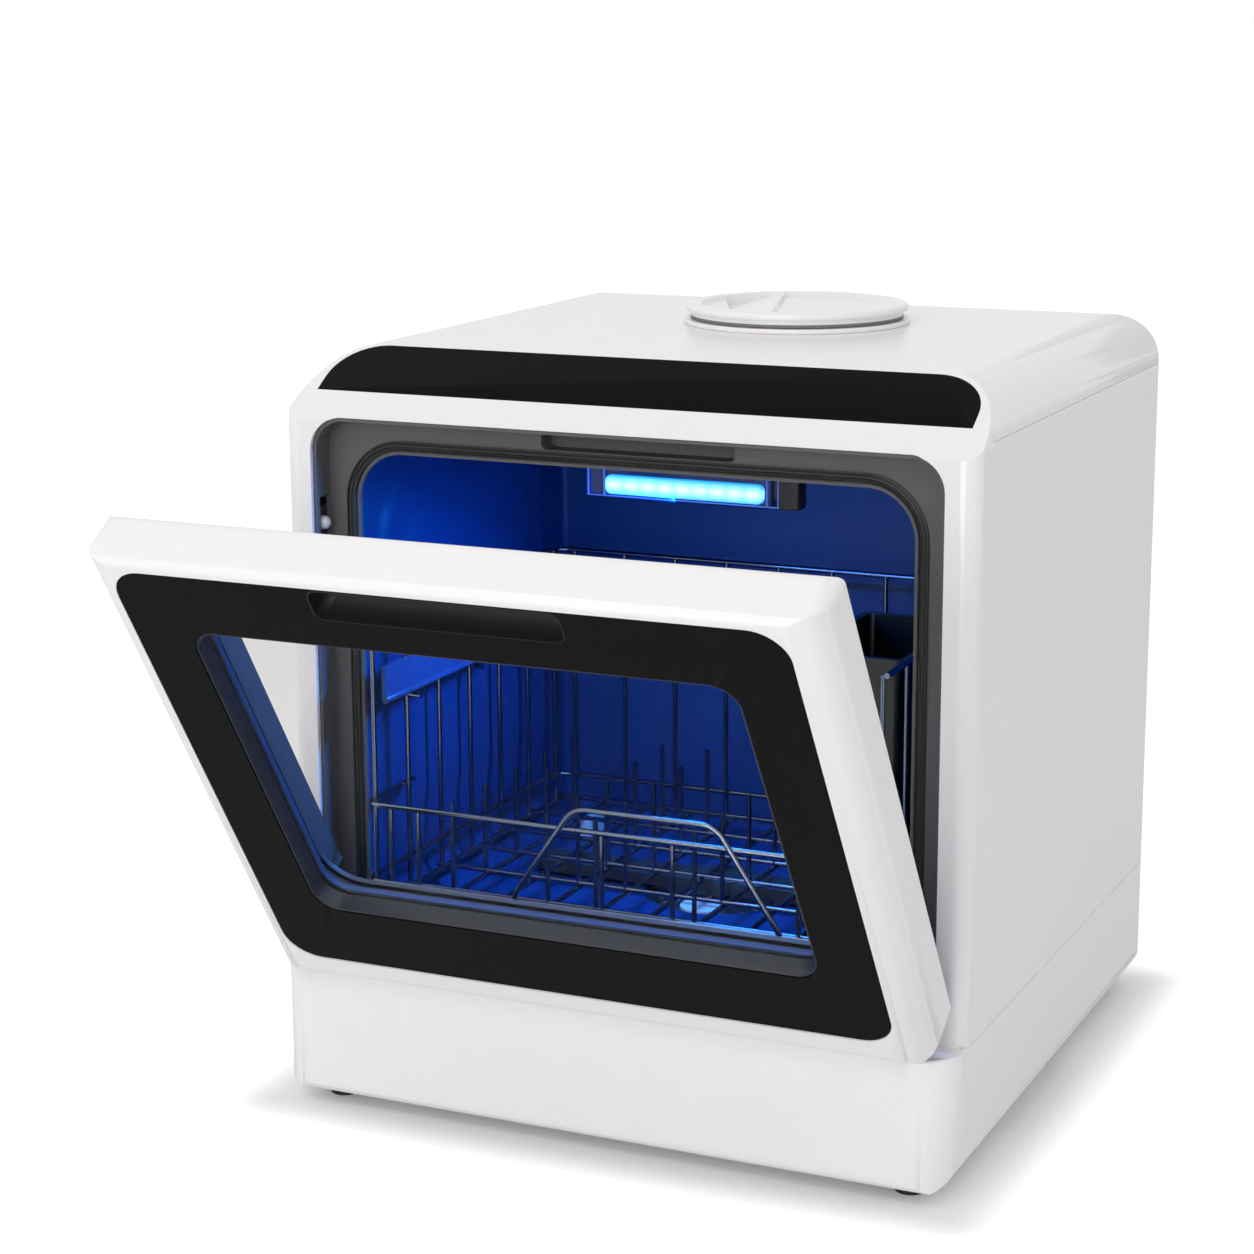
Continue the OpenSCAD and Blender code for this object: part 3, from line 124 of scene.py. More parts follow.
# The paper glows to white as it is seen; near the footprint the glow is turned down into a painted soft
# shadow.
footprint_low, footprint_up = (Vector(corner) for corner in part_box("base_pan"))
footprint_middle, footprint_half = (footprint_low + footprint_up) / 2, (footprint_up - footprint_low) / 2
shadow_reach, glow_at_foot, glow_beyond = 0.045, 0.06, 0.5
paper_rays = add_node(paper_nodes, "ShaderNodeLightPath")
paper_place = add_node(paper_nodes, "ShaderNodeTexCoord")
apart = add_node(paper_nodes, "ShaderNodeVectorMath", {0: (paper_place, "Object"), 1: footprint_middle},
                 operation="SUBTRACT")
folded = add_node(paper_nodes, "ShaderNodeVectorMath", {0: (apart, 0)}, operation="ABSOLUTE")
beyond = add_node(paper_nodes, "ShaderNodeVectorMath",
                  {0: (folded, 0), 1: (footprint_half.x, footprint_half.y, 1)}, operation="SUBTRACT")
outside = add_node(paper_nodes, "ShaderNodeVectorMath", {0: (beyond, 0), 1: (0, 0, 0)}, operation="MAXIMUM")
distance = add_node(paper_nodes, "ShaderNodeVectorMath", {0: (outside, 0)}, operation="LENGTH")
paper_glow = add_node(paper_nodes, "ShaderNodeMapRange",
                      {0: (distance, 1), 1: 0.0, 2: shadow_reach, 3: glow_at_foot, 4: glow_beyond},
                      interpolation_type="SMOOTHSTEP")
lift = add_node(paper_nodes, "ShaderNodeMath", {0: (paper_rays, "Is Camera Ray"), 1: (paper_glow, 0)},
                operation="MULTIPLY")
glow = add_node(paper_nodes, "ShaderNodeEmission", {"Color": (1, 1, 1, 1), "Strength": (lift, 0)})
lit = add_node(paper_nodes, "ShaderNodeAddShader", {0: (matte, 0), 1: (glow, 0)})
add_node(paper_nodes, "ShaderNodeOutputMaterial", {"Surface": (lit, 0)})
floor_mesh.materials.append(paper)


def area_lamp(name, place, target, width, height, watts, colour="#FFFFFF"):
    """A soft lamp that shines from one point towards another and isn't seen itself."""
    lamp_data = bpy.data.lights.new(name, "AREA")
    lamp_data.shape = "RECTANGLE"
    lamp_data.size, lamp_data.size_y = width, height
    lamp_data.energy = watts
    lamp_data.color = linear(colour)[:3]
    lamp = bpy.data.objects.new(name, lamp_data)
    scene.collection.objects.link(lamp)
    lamp.location = place
    lamp.rotation_euler = (Vector(target) - Vector(place)).to_track_quat("-Z", "Y").to_euler()
    lamp.visible_camera = False


area_lamp("high softbox", place=(-0.3, -1.5, 2.4), target=(0, 0, 0.3), width=1.6, height=1.2, watts=10)
area_lamp("front softbox", place=(0.1, -3.0, 0.75), target=(0, 0, 0.25), width=2.2, height=0.9, watts=24)

# ---- Base tray ----
# One injection-moulded ABS tray: the plinth in front, the deck over it and the floor
# that the pumps stand on. The polished tool leaves it glossy.


def moulded(name, colour, shade, grain_mm, depth_mm, roughness, strength=0.3, **sockets):
    """A Principled material whose colour, roughness and relief follow one noise."""
    material = bpy.data.materials.new(name)
    material.use_nodes = True
    nodes = material.node_tree
    shader = nodes.nodes["Principled BSDF"]
    for socket, value in sockets.items():
        shader.inputs[socket].default_value = value
    place = add_node(nodes, "ShaderNodeTexCoord")
    noise = add_node(nodes, "ShaderNodeTexNoise",
                     {"Vector": (place, "Object"), "Scale": 1000 / grain_mm, "Detail": 3.0})
    tint = add_node(nodes, "ShaderNodeMix", {0: (noise, 0), 6: linear(colour), 7: linear(shade)},
                    data_type="RGBA")
    spread = add_node(nodes, "ShaderNodeMapRange", {0: (noise, 0), 3: roughness[0], 4: roughness[1]})
    bump = add_node(nodes, "ShaderNodeBump",
                    {"Height": (noise, 0), "Distance": depth_mm / 1000, "Strength": strength})
    nodes.links.new(tint.outputs[2], shader.inputs["Base Color"])
    nodes.links.new(spread.outputs[0], shader.inputs["Roughness"])
    nodes.links.new(bump.outputs[0], shader.inputs["Normal"])
    return material


def dress(material, *nodes, edge_mm=0.0):
    """Gives CAD nodes their material and, where they show, a fine rounded edge."""
    for node in nodes:
        part = frame["nodes"][node]
        for slot in part.material_slots:
            slot.material = material
        if edge_mm:
            weld = part.modifiers.new("weld", "WELD")
            weld.merge_threshold = 1e-6
            bevel = part.modifiers.new("edge", "BEVEL")
            bevel.width = edge_mm / 1000
            bevel.segments = 2
            bevel.limit_method = "ANGLE"
            bevel.angle_limit = math.radians(40)
            bevel.harden_normals = True


# Polished ABS: a soft white whose broad highlights show a trace of moulding flow.
white_abs = moulded("polished white ABS", "#EEECED", "#EAE8E9", 14, 0.02, (0.2, 0.3))
dress(white_abs, "base_pan", edge_mm=1.0)

# ---- Feet ----
# Six feet of EPDM rubber, pressed into holes in the tray's floor. They keep the tray off
# a wet worktop and damp the pumps.
# Matt EPDM: near black, with a faint grain.
rubber = moulded("black EPDM rubber", "#1A1A1B", "#242425", 0.8, 0.05, (0.55, 0.75))
dress(rubber, "feet", edge_mm=0.5)

# ---- Pumps, heater and hoses ----
# The wash pump and the small drain pump: moulded volutes with pressed motor cans. A
# tube of stainless steel round the heating wire and rubber hoses join them to the sump.
# Glass-filled polypropylene: matt charcoal with a fine fibrous grain.
dark_pp = moulded("glass-filled polypropylene", "#28292B", "#303134", 0.7, 0.04, (0.42, 0.6))
dress(dark_pp, "wash_pump_housing", "drain_pump_housing", edge_mm=0.4)
# Natural polypropylene: milky white and slightly waxy.
pale_pp = moulded("natural polypropylene", "#E2E5E7", "#D9DCDF", 8, 0.05, (0.3, 0.42))
dress(pale_pp, "wash_impeller", "drain_impeller")
# Baked enamel on a pressed can: grey with a light orange peel.
motor_paint = moulded("painted motor can", "#6B6F73", "#74787C", 1.5, 0.03, (0.32, 0.5))
dress(motor_paint, "wash_pump_motor", "drain_pump_motor", edge_mm=0.5)
# Drawn stainless steel: bright and slightly clouded.
sheet_steel = moulded("drawn stainless steel", "#B9BBBE", "#A9ABAF", 2.5, 0.01, (0.22, 0.42),
                      Metallic=1.0)
dress(sheet_steel, "flow_heater", edge_mm=0.2)
dress(rubber, "pump_hoses")
# Coated circuit board: green solder mask over its copper tracks.
board_green = moulded("coated circuit board", "#1E5A34", "#174A2A", 3, 0.02, (0.3, 0.5))
dress(board_green, "power_board")

# ---- Sump and filter ----
# A moulded well bolted under the tub. A stainless plate and a pull-out basket with a
# grip keep the crumbs from the pumps.
dress(dark_pp, "sump", edge_mm=0.4)
dress(sheet_steel, "filter_plate", edge_mm=0.2)
dress(pale_pp, "filter_basket")

# ---- Casing ----
# The ABS shell round the tub: both sides and the picture-frame front, in one moulding
# that drops onto the tray.
dress(white_abs, "outer_casing", edge_mm=0.6)

# ---- Door seat ----
# A grey ABS flange that joins the casing to the tub. The closed door lies in its recess,
# and the door's hook and two ball catches go into its slots.
# Textured ABS: satin dark grey with a fine eroded grain.
grey_abs = moulded("eroded grey ABS", "#545455", "#5A5A5B", 0.5, 0.03, (0.42, 0.6))
dress(grey_abs, "door_seat_flange", edge_mm=0.4)

# ---- Tub ----
# One polypropylene moulding with round corners. Raised panels stiffen its side walls; the
# pumps' well, the top nozzle and the drying air each have a hole.
plinth_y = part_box("base_pan")[0][1] * 1000


def at(x, y, z):
    """A point in metres from millimetres; y is measured back from the plinth's front."""
    return Vector((x, y + plinth_y, z)) / 1000


def extent(node):
    """A node's low and high corners in millimetres, with y from the plinth's front."""
    low, high = [Vector(corner) * 1000 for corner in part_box(node)]
    shift = Vector((0, plinth_y, 0))
    return low - shift, high - shift


def new_piece(name, mesh, material, body, slot, *nodes, sharp=40):
    """Puts a mesh into the scene as a piece that rides on a body and replaces CAD nodes."""
    mesh.materials.clear()
    mesh.materials.append(material)
    mesh.polygons.foreach_set("use_smooth", [True] * len(mesh.polygons))
    mesh.set_sharp_from_angle(angle=math.radians(sharp))
    piece = bpy.data.objects.new(name, mesh)
    scene.collection.objects.link(piece)
    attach(piece, body)
    if nodes:
        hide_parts(*nodes)
    return piece


def mesh_from(bm, name):
    """A mesh from a closed bmesh, with its faces turned outward."""
    bmesh.ops.recalc_face_normals(bm, faces=bm.faces)
    mesh = bpy.data.meshes.new(name)
    bm.to_mesh(mesh)
    bm.free()
    return mesh


def lofted(rings, name, closed_ways=False):
    """A closed skin over rings of points: each ring is joined to the next, ends capped."""
    bm = bmesh.new()
    rows = [[bm.verts.new(point) for point in ring] for ring in rings]
    count = len(rows[0])
    pairs = list(zip(rows, rows[1:])) + ([(rows[-1], rows[0])] if closed_ways else [])
    for low, high in pairs:
        for i in range(count):
            bm.faces.new((low[i], low[(i + 1) % count], high[(i + 1) % count], high[i]))
    if not closed_ways:
        bm.faces.new(rows[0])
        bm.faces.new(rows[-1])
    return mesh_from(bm, name)


def arc(cx, cz, r, start, end, steps):
    """Points on an arc, with the angles in degrees."""
    return [(cx + r * math.cos(math.radians(start + (end - start) * k / steps)),
             cz + r * math.sin(math.radians(start + (end - start) * k / steps))) for k in range(steps + 1)]


def rounded_outline(half, low, high, r, steps=10):
    """A rectangle about the middle of the cabinet with round corners, as x and z."""
    return (arc(half - r, low + r, r, -90, 0, steps) + arc(half - r, high - r, r, 0, 90, steps)
            + arc(r - half, high - r, r, 90, 180, steps) + arc(r - half, low + r, r, 180, 270, steps))


# Polypropylene: deep blue, satin, with slow waves of moulding shrinkage.
blue_pp = moulded("blue polypropylene", "#0C3668", "#0F3C70", 40, 0.3, (0.32, 0.46),
                  **{"Specular IOR Level": 0.25})
tub_low, tub_up = extent("wash_tub")
tub_t, tub_r, back_r, sill, wall_steps, arc_steps = 2, 28, 4, 7, 46, 8
tub_front, tub_back = tub_low.y, tub_up.y
inner_half, inner_low, inner_top = tub_up.x - tub_t, tub_low.z + tub_t, tub_up.z - tub_t
panel_height, panel_step, panel_inset, panel_r = 4, 7, 26, 34
outer_share = 0.55
panel_middle = Vector((178, 250))
panel_half = Vector((112, 116))


def raised_panel(y, z):
    """Height of the raised panel, from 0 on the wall to 1, in two soft steps."""
    height = 0
    for inset, share in ((0, outer_share), (panel_inset, 1 - outer_share)):
        corner = panel_r - inset / 2
        over_y = abs(y - panel_middle.x) - panel_half.x + inset + corner
        over_z = abs(z - panel_middle.y) - panel_half.y + inset + corner
        reach = math.hypot(max(over_y, 0), max(over_z, 0)) + min(max(over_y, over_z), 0) - corner
        step = min(max(-reach / panel_step, 0), 1)
        height += share * step * step * (3 - 2 * step)
    return height


def tub_ring(half, bottom, top, r, depth, emboss=0):
    """One ring of the tub's wall; emboss moves the side walls inward where panels are."""
    right = [(half, bottom + r + (top - bottom - 2 * r) * k / wall_steps) for k in range(1, wall_steps)]
    line = right + arc(half - r, top - r, r, 0, 90, arc_steps)
    line += arc(r - half, top - r, r, 90, 180, arc_steps) + [(-x, z) for x, z in reversed(right)]
    line += arc(r - half, bottom + r, r, 180, 270, arc_steps)
    line += arc(half - r, bottom + r, r, 270, 360, arc_steps)
    ring = []
    for x, z in line:
        push = emboss * raised_panel(depth, z) if abs(x) > half - 0.01 else 0
        ring.append(at(x - math.copysign(push, x), depth, z))
    return ring


wall_end = tub_back - tub_t - back_r
wall_start = tub_front + tub_t + 1
depth_steps, back_steps = 60, 8
depths = [wall_start + (wall_end - wall_start) * k / depth_steps for k in range(depth_steps + 1)]
outside_walls = (tub_up.x, tub_low.z, tub_up.z, tub_r + tub_t)
mouth = (inner_half, inner_low + sill, inner_top, tub_r)
inside_walls = (inner_half, inner_low, inner_top, tub_r)
rings = [tub_ring(*outside_walls, depth) for depth in (tub_back, tub_front)]
rings += [tub_ring(*mouth, depth) for depth in (tub_front, tub_front + tub_t)]
rings += [tub_ring(*inside_walls, depth, emboss=panel_height) for depth in depths]
for k in range(1, back_steps + 1):
    turn = math.radians(90 * k / back_steps)
    back = back_r * (1 - math.cos(turn))
    rings.append(tub_ring(inner_half - back, inner_low + back, inner_top - back, tub_r - back,
                          wall_end + back_r * math.sin(turn), emboss=panel_height))
tub = new_piece("tub_shell", lofted(rings, "tub"), blue_pp, "cabinet", "blue_tub", "wash_tub", sharp=35)
sump_low, sump_up = extent("sump")
tub_mid = (sump_low.y + sump_up.y) / 2
well_r, nozzle_hole_r, air_hole_r = 46, 6, 16
drills = []
for name, spot, axis, r in (("well", (0, tub_mid, inner_low - 1), "Z", well_r),
                            ("nozzle hole", (0, tub_back, inner_top - 8), "Y", nozzle_hole_r),
                            ("air hole", (118, tub_back, inner_top - 89), "Y", air_hole_r)):
    bm = bmesh.new()
    turn = Matrix.Rotation(math.radians(90), 4, "X") if axis == "Y" else Matrix.Identity(4)
    bmesh.ops.create_cone(bm, cap_ends=True, segments=48, radius1=r / 1000, radius2=r / 1000,
                          depth=0.02, matrix=Matrix.Translation(at(*spot)) @ turn)
    drill = bpy.data.objects.new(name, mesh_from(bm, name))
    scene.collection.objects.link(drill)
    drills.append(drill)
    cut = tub.modifiers.new(name, "BOOLEAN")
    cut.operation, cut.solver, cut.object = "DIFFERENCE", "EXACT", drill


def applied(piece):
    """Bakes a piece's modifiers into its mesh."""
    bpy.context.view_layer.update()
    piece.data = bpy.data.meshes.new_from_object(piece.evaluated_get(bpy.context.evaluated_depsgraph_get()))
    piece.modifiers.clear()


applied(tub)
for drill in drills:
    bpy.data.objects.remove(drill)

# ---- Gasket ----
# A silicone-rubber profile on three sides of the tub's mouth: a flat foot, a raised bead
# that the door squeezes, and a thin lip.
gasket_low, gasket_high = extent("door_gasket")
gasket_r, corner_steps = 36, 14
gasket_front, gasket_back = gasket_low.y, gasket_high.y
# Distance into the mouth's opening, and depth, of each corner of the profile
profile = [(inward, gasket_front + behind) for inward, behind in (
    (0, 1.2), (1.0, 1.0), (1.6, 0.3), (2.4, 0), (3.2, 0.3), (3.7, 1.1), (4.6, 1.2), (5.0, 0.5), (5.6, 0.5),
    (6.0, 1.4))]
profile = [(0, gasket_back)] + profile + [(6.0, gasket_back)]
rings = []
for inward, depth in profile:
    half, high, r = gasket_high.x - inward, gasket_high.z - inward, gasket_r - inward
    line = [(half, gasket_low.z)] + arc(half - r, high - r, r, 0, 90, corner_steps)
    line += arc(r - half, high - r, r, 90, 180, corner_steps) + [(-half, gasket_low.z)]
    rings.append([at(x, depth, z) for x, z in line])
across = [[ring[k] for ring in rings] for k in range(len(rings[0]))]
# Silicone rubber: black with a brownish bloom, finely matt.
silicone = moulded("black silicone rubber", "#141312", "#1D1B19", 0.9, 0.03, (0.36, 0.52))
new_piece("gasket_profile", lofted(across, "gasket"), silicone, "cabinet", "black_rubber",
          "door_gasket", sharp=50)

# ---- Spray arm, its post and the top nozzle ----
# Moulded halves welded together. The arm turns on the post by the thrust of its jets, and
# the fixed nozzle under the ceiling rinses the glasses.
dress(dark_pp, "spray_post", "spray_arm", "top_nozzle", edge_mm=0.4)

# ---- Lamp ----
# A strip of LEDs behind a frosted polycarbonate cover with round corners. Its tinted case
# hangs from the tub's ceiling, with a dark plug block on the right.


def soft_box(bm, low, high, r, segments=3):
    """Adds a box with rounded edges to a bmesh, from its corners in millimetres."""
    low, high = at(*low), at(*high)
    size = high - low
    made = bmesh.ops.create_cube(bm, size=1.0, matrix=Matrix.Translation((low + high) / 2) @ Matrix.Diagonal(
        (size.x, size.y, size.z, 1)))
    edges = list({edge for vert in made["verts"] for edge in vert.link_edges})
    bmesh.ops.bevel(bm, geom=edges, offset=r / 1000, segments=segments, profile=0.5, affect="EDGES",
                    clamp_overlap=True)


case_low, case_up = extent("lamp_housing")
lens_low, lens_up = extent("lamp_lens")
# Tinted polycarbonate: dark blue and glossy.
case_blue = moulded("tinted polycarbonate", "#0E2C66", "#12357A", 0.6, 0.02, (0.16, 0.28))
bm = bmesh.new()
soft_box(bm, (case_low.x, case_low.y + 4, case_low.z), (lens_up.x + 4, case_up.y, case_up.z - 0.2), 2)
new_piece("lamp_case", mesh_from(bm, "lamp case"), case_blue, "cabinet", "lamp_case", "lamp_housing")
# Plug block: moulded in black.
block_w = 13
bm = bmesh.new()
soft_box(bm, (case_up.x - block_w, case_low.y, case_low.z + 1),
         (case_up.x, case_up.y - 1, case_up.z - 0.2), 1.5)
soft_box(bm, (lens_up.x + 3, case_low.y + 6, case_low.z + 5),
         (case_up.x - block_w + 2, case_up.y - 2, case_up.z - 4), 1)
new_piece("lamp_plug", mesh_from(bm, "lamp plug"), dark_pp, "cabinet", "lamp_case")
# Clear polycarbonate edge of the carrier, shown as a thin line; its blue colour and glow are painted light,
# an emission that stands in for the strip's light caught in the rim.
bm = bmesh.new()
rim_w, rim_h, rim_front, rim_back = 1.1, 0.8, case_low.y + 2.6, case_low.y + 4.6
rim_low, rim_end = case_low.z + 1.4, case_up.x - block_w
for x in (case_low.x, lens_low.x - 1.6, lens_up.x + 0.6, rim_end - 1.5):
    soft_box(bm, (x, rim_front, rim_low), (x + rim_w, rim_back, case_up.z - 8), 0.4, 2)
soft_box(bm, (case_low.x, rim_front, rim_low), (rim_end - 0.4, rim_back, rim_low + rim_h), 0.35, 2)
# Painted glow: the rim's blue colour and emission stand in for the strip's light on it.
rim_painted_glow = moulded("polycarbonate with painted glow", "#4E78C8", "#5B86D6", 4, 0.01, (0.12, 0.2),
                     **{"Emission Color": linear("#2F63D0"), "Emission Strength": 0.35})
new_piece("lamp_carrier_rim", mesh_from(bm, "carrier rim"), rim_painted_glow, "cabinet", "lamp_case")
# Frosted cover: cyan where the strip shines through, with a faint row of paler LED spots.
lens = moulded("lit frosted cover", "#9CEBFF", "#A8EEFF", 2, 0.01, (0.3, 0.4))
lens_nodes = lens.node_tree
shader = lens_nodes.nodes["Principled BSDF"]
led_pitch, led_glow, led_stretch = 0.011, 0.0055, 0.45
place = add_node(lens_nodes, "ShaderNodeTexCoord")
centre = add_node(lens_nodes, "ShaderNodeMapping", {"Vector": (place, "Object"), "Location": (
    -(lens_low.x + lens_up.x) / 2000, 0, -(lens_low.z + lens_up.z) / 2000)})
axes = add_node(lens_nodes, "ShaderNodeSeparateXYZ", {0: (centre, 0)})
nearest = add_node(lens_nodes, "ShaderNodeMath", {0: (axes, 0), 1: led_pitch / 2}, operation="PINGPONG")
drawn = add_node(lens_nodes, "ShaderNodeMath", {0: (nearest, 0), 1: led_stretch}, operation="MULTIPLY")
x_term = add_node(lens_nodes, "ShaderNodeMath", {0: (drawn, 0), 1: 2.0}, operation="POWER")
z_term = add_node(lens_nodes, "ShaderNodeMath", {0: (axes, 2), 1: 2.0}, operation="POWER")
squared = add_node(lens_nodes, "ShaderNodeMath", {0: (x_term, 0), 1: (z_term, 0)}, operation="ADD")
away = add_node(lens_nodes, "ShaderNodeMath", {0: (squared, 0)}, operation="SQRT")
spot = add_node(lens_nodes, "ShaderNodeMapRange", {0: (away, 0), 1: 0.0, 2: led_glow, 3: 1.0, 4: 0.0},
                interpolation_type="SMOOTHSTEP")
hue = add_node(lens_nodes, "ShaderNodeMix", {0: (spot, 0), 6: linear("#0AA8F8"), 7: linear("#A8F4FF")},
               data_type="RGBA")
power = add_node(lens_nodes, "ShaderNodeMapRange", {0: (spot, 0), 3: 1.0, 4: 1.9})
lens_nodes.links.new(hue.outputs[2], shader.inputs["Emission Color"])
lens_nodes.links.new(power.outputs[0], shader.inputs["Emission Strength"])
lens_x, lens_half, lens_r = (lens_low.x + lens_up.x) / 2, (lens_up.x - lens_low.x) / 2, 4.2
rings = []
for inset, depth in ((0.7, 4.0), (0.7, 1.2), (1.0, 0.5), (1.8, 0.1), (3.4, 0.0)):
    outline = rounded_outline(lens_half - inset, lens_low.z + inset, lens_up.z - inset, lens_r - inset)
    rings.append([at(x + lens_x, lens_low.y + depth, z) for x, z in outline])
new_piece("lamp_cover", lofted(rings, "lamp cover"), lens, "cabinet", "lamp_light", "lamp_lens")
dress(board_green, "lamp_board")
# The strip's light, from just before the cover and from just behind the case.
before = at(lens_x, lens_low.y - 4, lens_low.z - 3)
behind = at(lens_x, case_up.y + 4, lens_low.z - 3)
area_lamp("lamp light", before, before + Vector((0, -0.1, -0.25)), 0.1, 0.012, 1.2, "#0A8CFF")
area_lamp("lamp light to the rim", before, before + Vector((-0.16, -0.1, -0.1)), 0.08, 0.012, 0.4, "#0A78FF")
area_lamp("lamp light to the back", behind, behind + Vector((0, 0.13, -0.12)), 0.12, 0.012, 0.2, "#0A8CFF")

# ---- Tank and inlet ----
# A blow-moulded polypropylene tank behind the tub holds one wash's water. It is filled
# through a moulded funnel that hangs from the ring in the lid.
dress(pale_pp, "water_tank", "inlet_funnel")

# ---- Drying fan ----
# A moulded snail housing with a blade wheel on a small motor, screwed behind the tub. It
# blows air through the hole in the tub's back wall.
dress(dark_pp, "fan_housing", "fan_motor", edge_mm=0.4)
dress(pale_pp, "fan_wheel")

# ---- Door catches ----
# A moulded housing on each side holds a spring and a round-nosed plunger that snaps into
# a dent in the door's steel strike.
dress(dark_pp, "latch_housings", edge_mm=0.3)
dress(pale_pp, "latch_plunger_left", "latch_plunger_right")
dress(sheet_steel, "latch_springs")

# ---- Back ----
# A powder-coated steel sheet with louvres, held by eight screws. The fill and drain
# connectors and the cord's gland pass through it.
# Powder coat: pale grey with a fine orange-peel surface.
powder = moulded("powder-coated steel", "#C4C6C8", "#CBCDCF", 1.2, 0.06, (0.42, 0.6))
dress(powder, "back_panel")
dress(dark_pp, "water_connector", "drain_connector", edge_mm=0.4)
dress(rubber, "cord_gland", edge_mm=0.4)
# Pan-head screws: zinc-plated steel, plain metal with a slight cloud.
zinc = moulded("zinc-plated steel", "#B6B8BC", "#A6A8AC", 1.5, 0.01, (0.26, 0.4), Metallic=1.0)
dress(zinc, "back_screws", edge_mm=0.2)

# ---- Top cover ----
# The ABS lid: it snaps onto the casing at a fine seam and slopes down in front to the
# control panel.
dress(white_abs, "top_cover", edge_mm=0.6)

# ---- Control panel ----
# Black enamelled glass with touch sensors under it, let into the slope of the cover and
# glued to a moulded carrier with the circuit board.
# Enamelled glass: deep black and anti-glare, so that it keeps only weak reflections.
black_glass = moulded("black enamelled glass", "#050506", "#070708", 30, 0.004, (0.26, 0.34),
                      **{"Specular IOR Level": 0.05})
dress(black_glass, "control_glass", edge_mm=0.3)
dress(grey_abs, "panel_carrier", edge_mm=0.4)
dress(board_green, "control_board")

# ---- Fill ring and cap ----
# A moulded ring pressed into the lid, a rubber seal and a screw cap. A lens-shaped hollow
# and a shallow dish beside it leave a bar across the cap to turn it by.
dress(white_abs, "inlet_ring", edge_mm=0.6)
# Silicone: mid grey, matt.
grey_silicone = moulded("grey silicone seal", "#77777A", "#6E6E70", 0.9, 0.03, (0.5, 0.7))
dress(grey_silicone, "inlet_seal", edge_mm=0.4)
cap_low, cap_up = extent("inlet_cap")
cap_middle, cap_r, cap_top = (cap_low + cap_up) / 2, (cap_up.x - cap_low.x) / 2, cap_up.z
cap_turn = math.radians(24.5)
deep, shallow, ledge = 6.0, 2.2, 2.5
# Each edge of the bar across the cap: a point on it, and its direction
hollow_edge = (Vector((-39, -31)), Vector((27, 72)))
dish_edge = (Vector((-16, -35)), Vector((9, 70)))
hollow_r, hollow_corner, hollow_slope = 60, 7, 1.6
ledge_edge, ledge_slope = -42.5, 1.2
dish_r, dish_slope, dish_edge_slope = 59.5, 5.5, 1.4


def reach_inside(a, b, r):
    """Distance inside two edges whose corner is rounded by r; negative is outside."""
    if a > r and b > r:
        return min(a, b)
    return r - math.hypot(max(r - a, 0), max(r - b, 0))


def soft_step(t):
    """A smooth rise from 0 to 1."""
    t = min(max(t, 0), 1)
    return t * t * (3 - 2 * t)


def left_of(u, v, edge):
    """Distance to the left of an edge; negative is to the right."""
    through, along = edge
    return (along.x * (v - through.y) - along.y * (u - through.x)) / along.length


def cap_height(x, y):
    """Height of the cap's face below its rim, at a place from its middle."""
    u = x * math.cos(cap_turn) + y * math.sin(cap_turn)
    v = y * math.cos(cap_turn) - x * math.sin(cap_turn)
    r = math.hypot(u, v)
    hollow = soft_step(reach_inside(hollow_r - r, left_of(u, v, hollow_edge), hollow_corner) / hollow_slope)
    floor_depth = ledge + (deep - ledge) * soft_step((u - ledge_edge) / ledge_slope)
    dish = soft_step(-left_of(u, v, dish_edge) / dish_edge_slope) * soft_step((dish_r - r) / dish_slope)
    return -floor_depth * hollow - shallow * dish


cap_steps, cap_sides = 110, 320


def cap_ring(r, z=None):
    """One ring of the cap: its face where no height is given, otherwise at that height."""
    ring = []
    for k in range(cap_sides):
        x, y = r * math.cos(2 * math.pi * k / cap_sides), r * math.sin(2 * math.pi * k / cap_sides)
        height = cap_top + cap_height(x, y) if z is None else z
        ring.append(at(cap_middle.x + x, cap_middle.y + y, height))
    return ring


skirt_top, skirt_low, plug_r = cap_top - 4, cap_top - 7, 50.9
rim_r, skirt_in, plug_t, plug_hollow, middle_r = 2, cap_r - 3, 3.4, 3, 0.4
face_r = cap_r - rim_r - middle_r
rings = [cap_ring(middle_r + face_r * k / cap_steps) for k in range(cap_steps + 1)]
rings += [cap_ring(cap_r - rim_r + rim_r * math.sin(math.radians(a)),
                   cap_top - rim_r + rim_r * math.cos(math.radians(a))) for a in (22, 45, 68, 90)]
underside = ((cap_r, skirt_top + 0.5), (cap_r - 0.4, skirt_top), (skirt_in, skirt_top), (skirt_in, skirt_low),
             (plug_r, skirt_low), (plug_r, cap_low.z), (plug_r - plug_t, cap_low.z),
             (plug_r - plug_t, skirt_low - plug_hollow), (middle_r, skirt_low - plug_hollow))
rings += [cap_ring(r, z) for r, z in underside]
new_piece("cap", lofted(rings, "cap"), white_abs, "inlet_cap", "white_shell", "inlet_cap", sharp=50)

# ---- Hinges ----
# Two zinc-plated steel arms, screwed to the tray. The door's two steel pins turn in their
# holes.
dress(zinc, "hinge_arm_left", "hinge_arm_right", "hinge_pins", edge_mm=0.2)

# ---- Door frame and trim ----
# A white ABS frame with round corners holds a black trim, flush with its face, round the
# window and the handle.
dress(white_abs, "door_outer_frame", edge_mm=0.6)
# Matt black ABS: even and dark, only weakly reflecting.
black_abs = moulded("matt black ABS", "#070708", "#0B0B0C", 0.4, 0.02, (0.52, 0.7),
                    **{"Specular IOR Level": 0.1})
dress(black_abs, "door_trim", edge_mm=0.4)
hinge = next(joint for joint in frame["joints"] if joint["name"] == "door_hinge")
door_pivot = Vector(hinge["pos_m"])
door_turn = Matrix.Rotation(math.radians(-hinge["range_deg"][0]), 4, "X")


def on_door(x, y, z):
    """A point of the door as it is drawn closed, turned to where the door stands ajar."""
    return door_pivot + door_turn @ (at(x, y, z) - door_pivot)


def door_outline(half, low, high, r, y, steps=10):
    """A rounded rectangle on the door at one depth."""
    return [on_door(x, y, z) for x, z in rounded_outline(half, low, high, r, steps)]


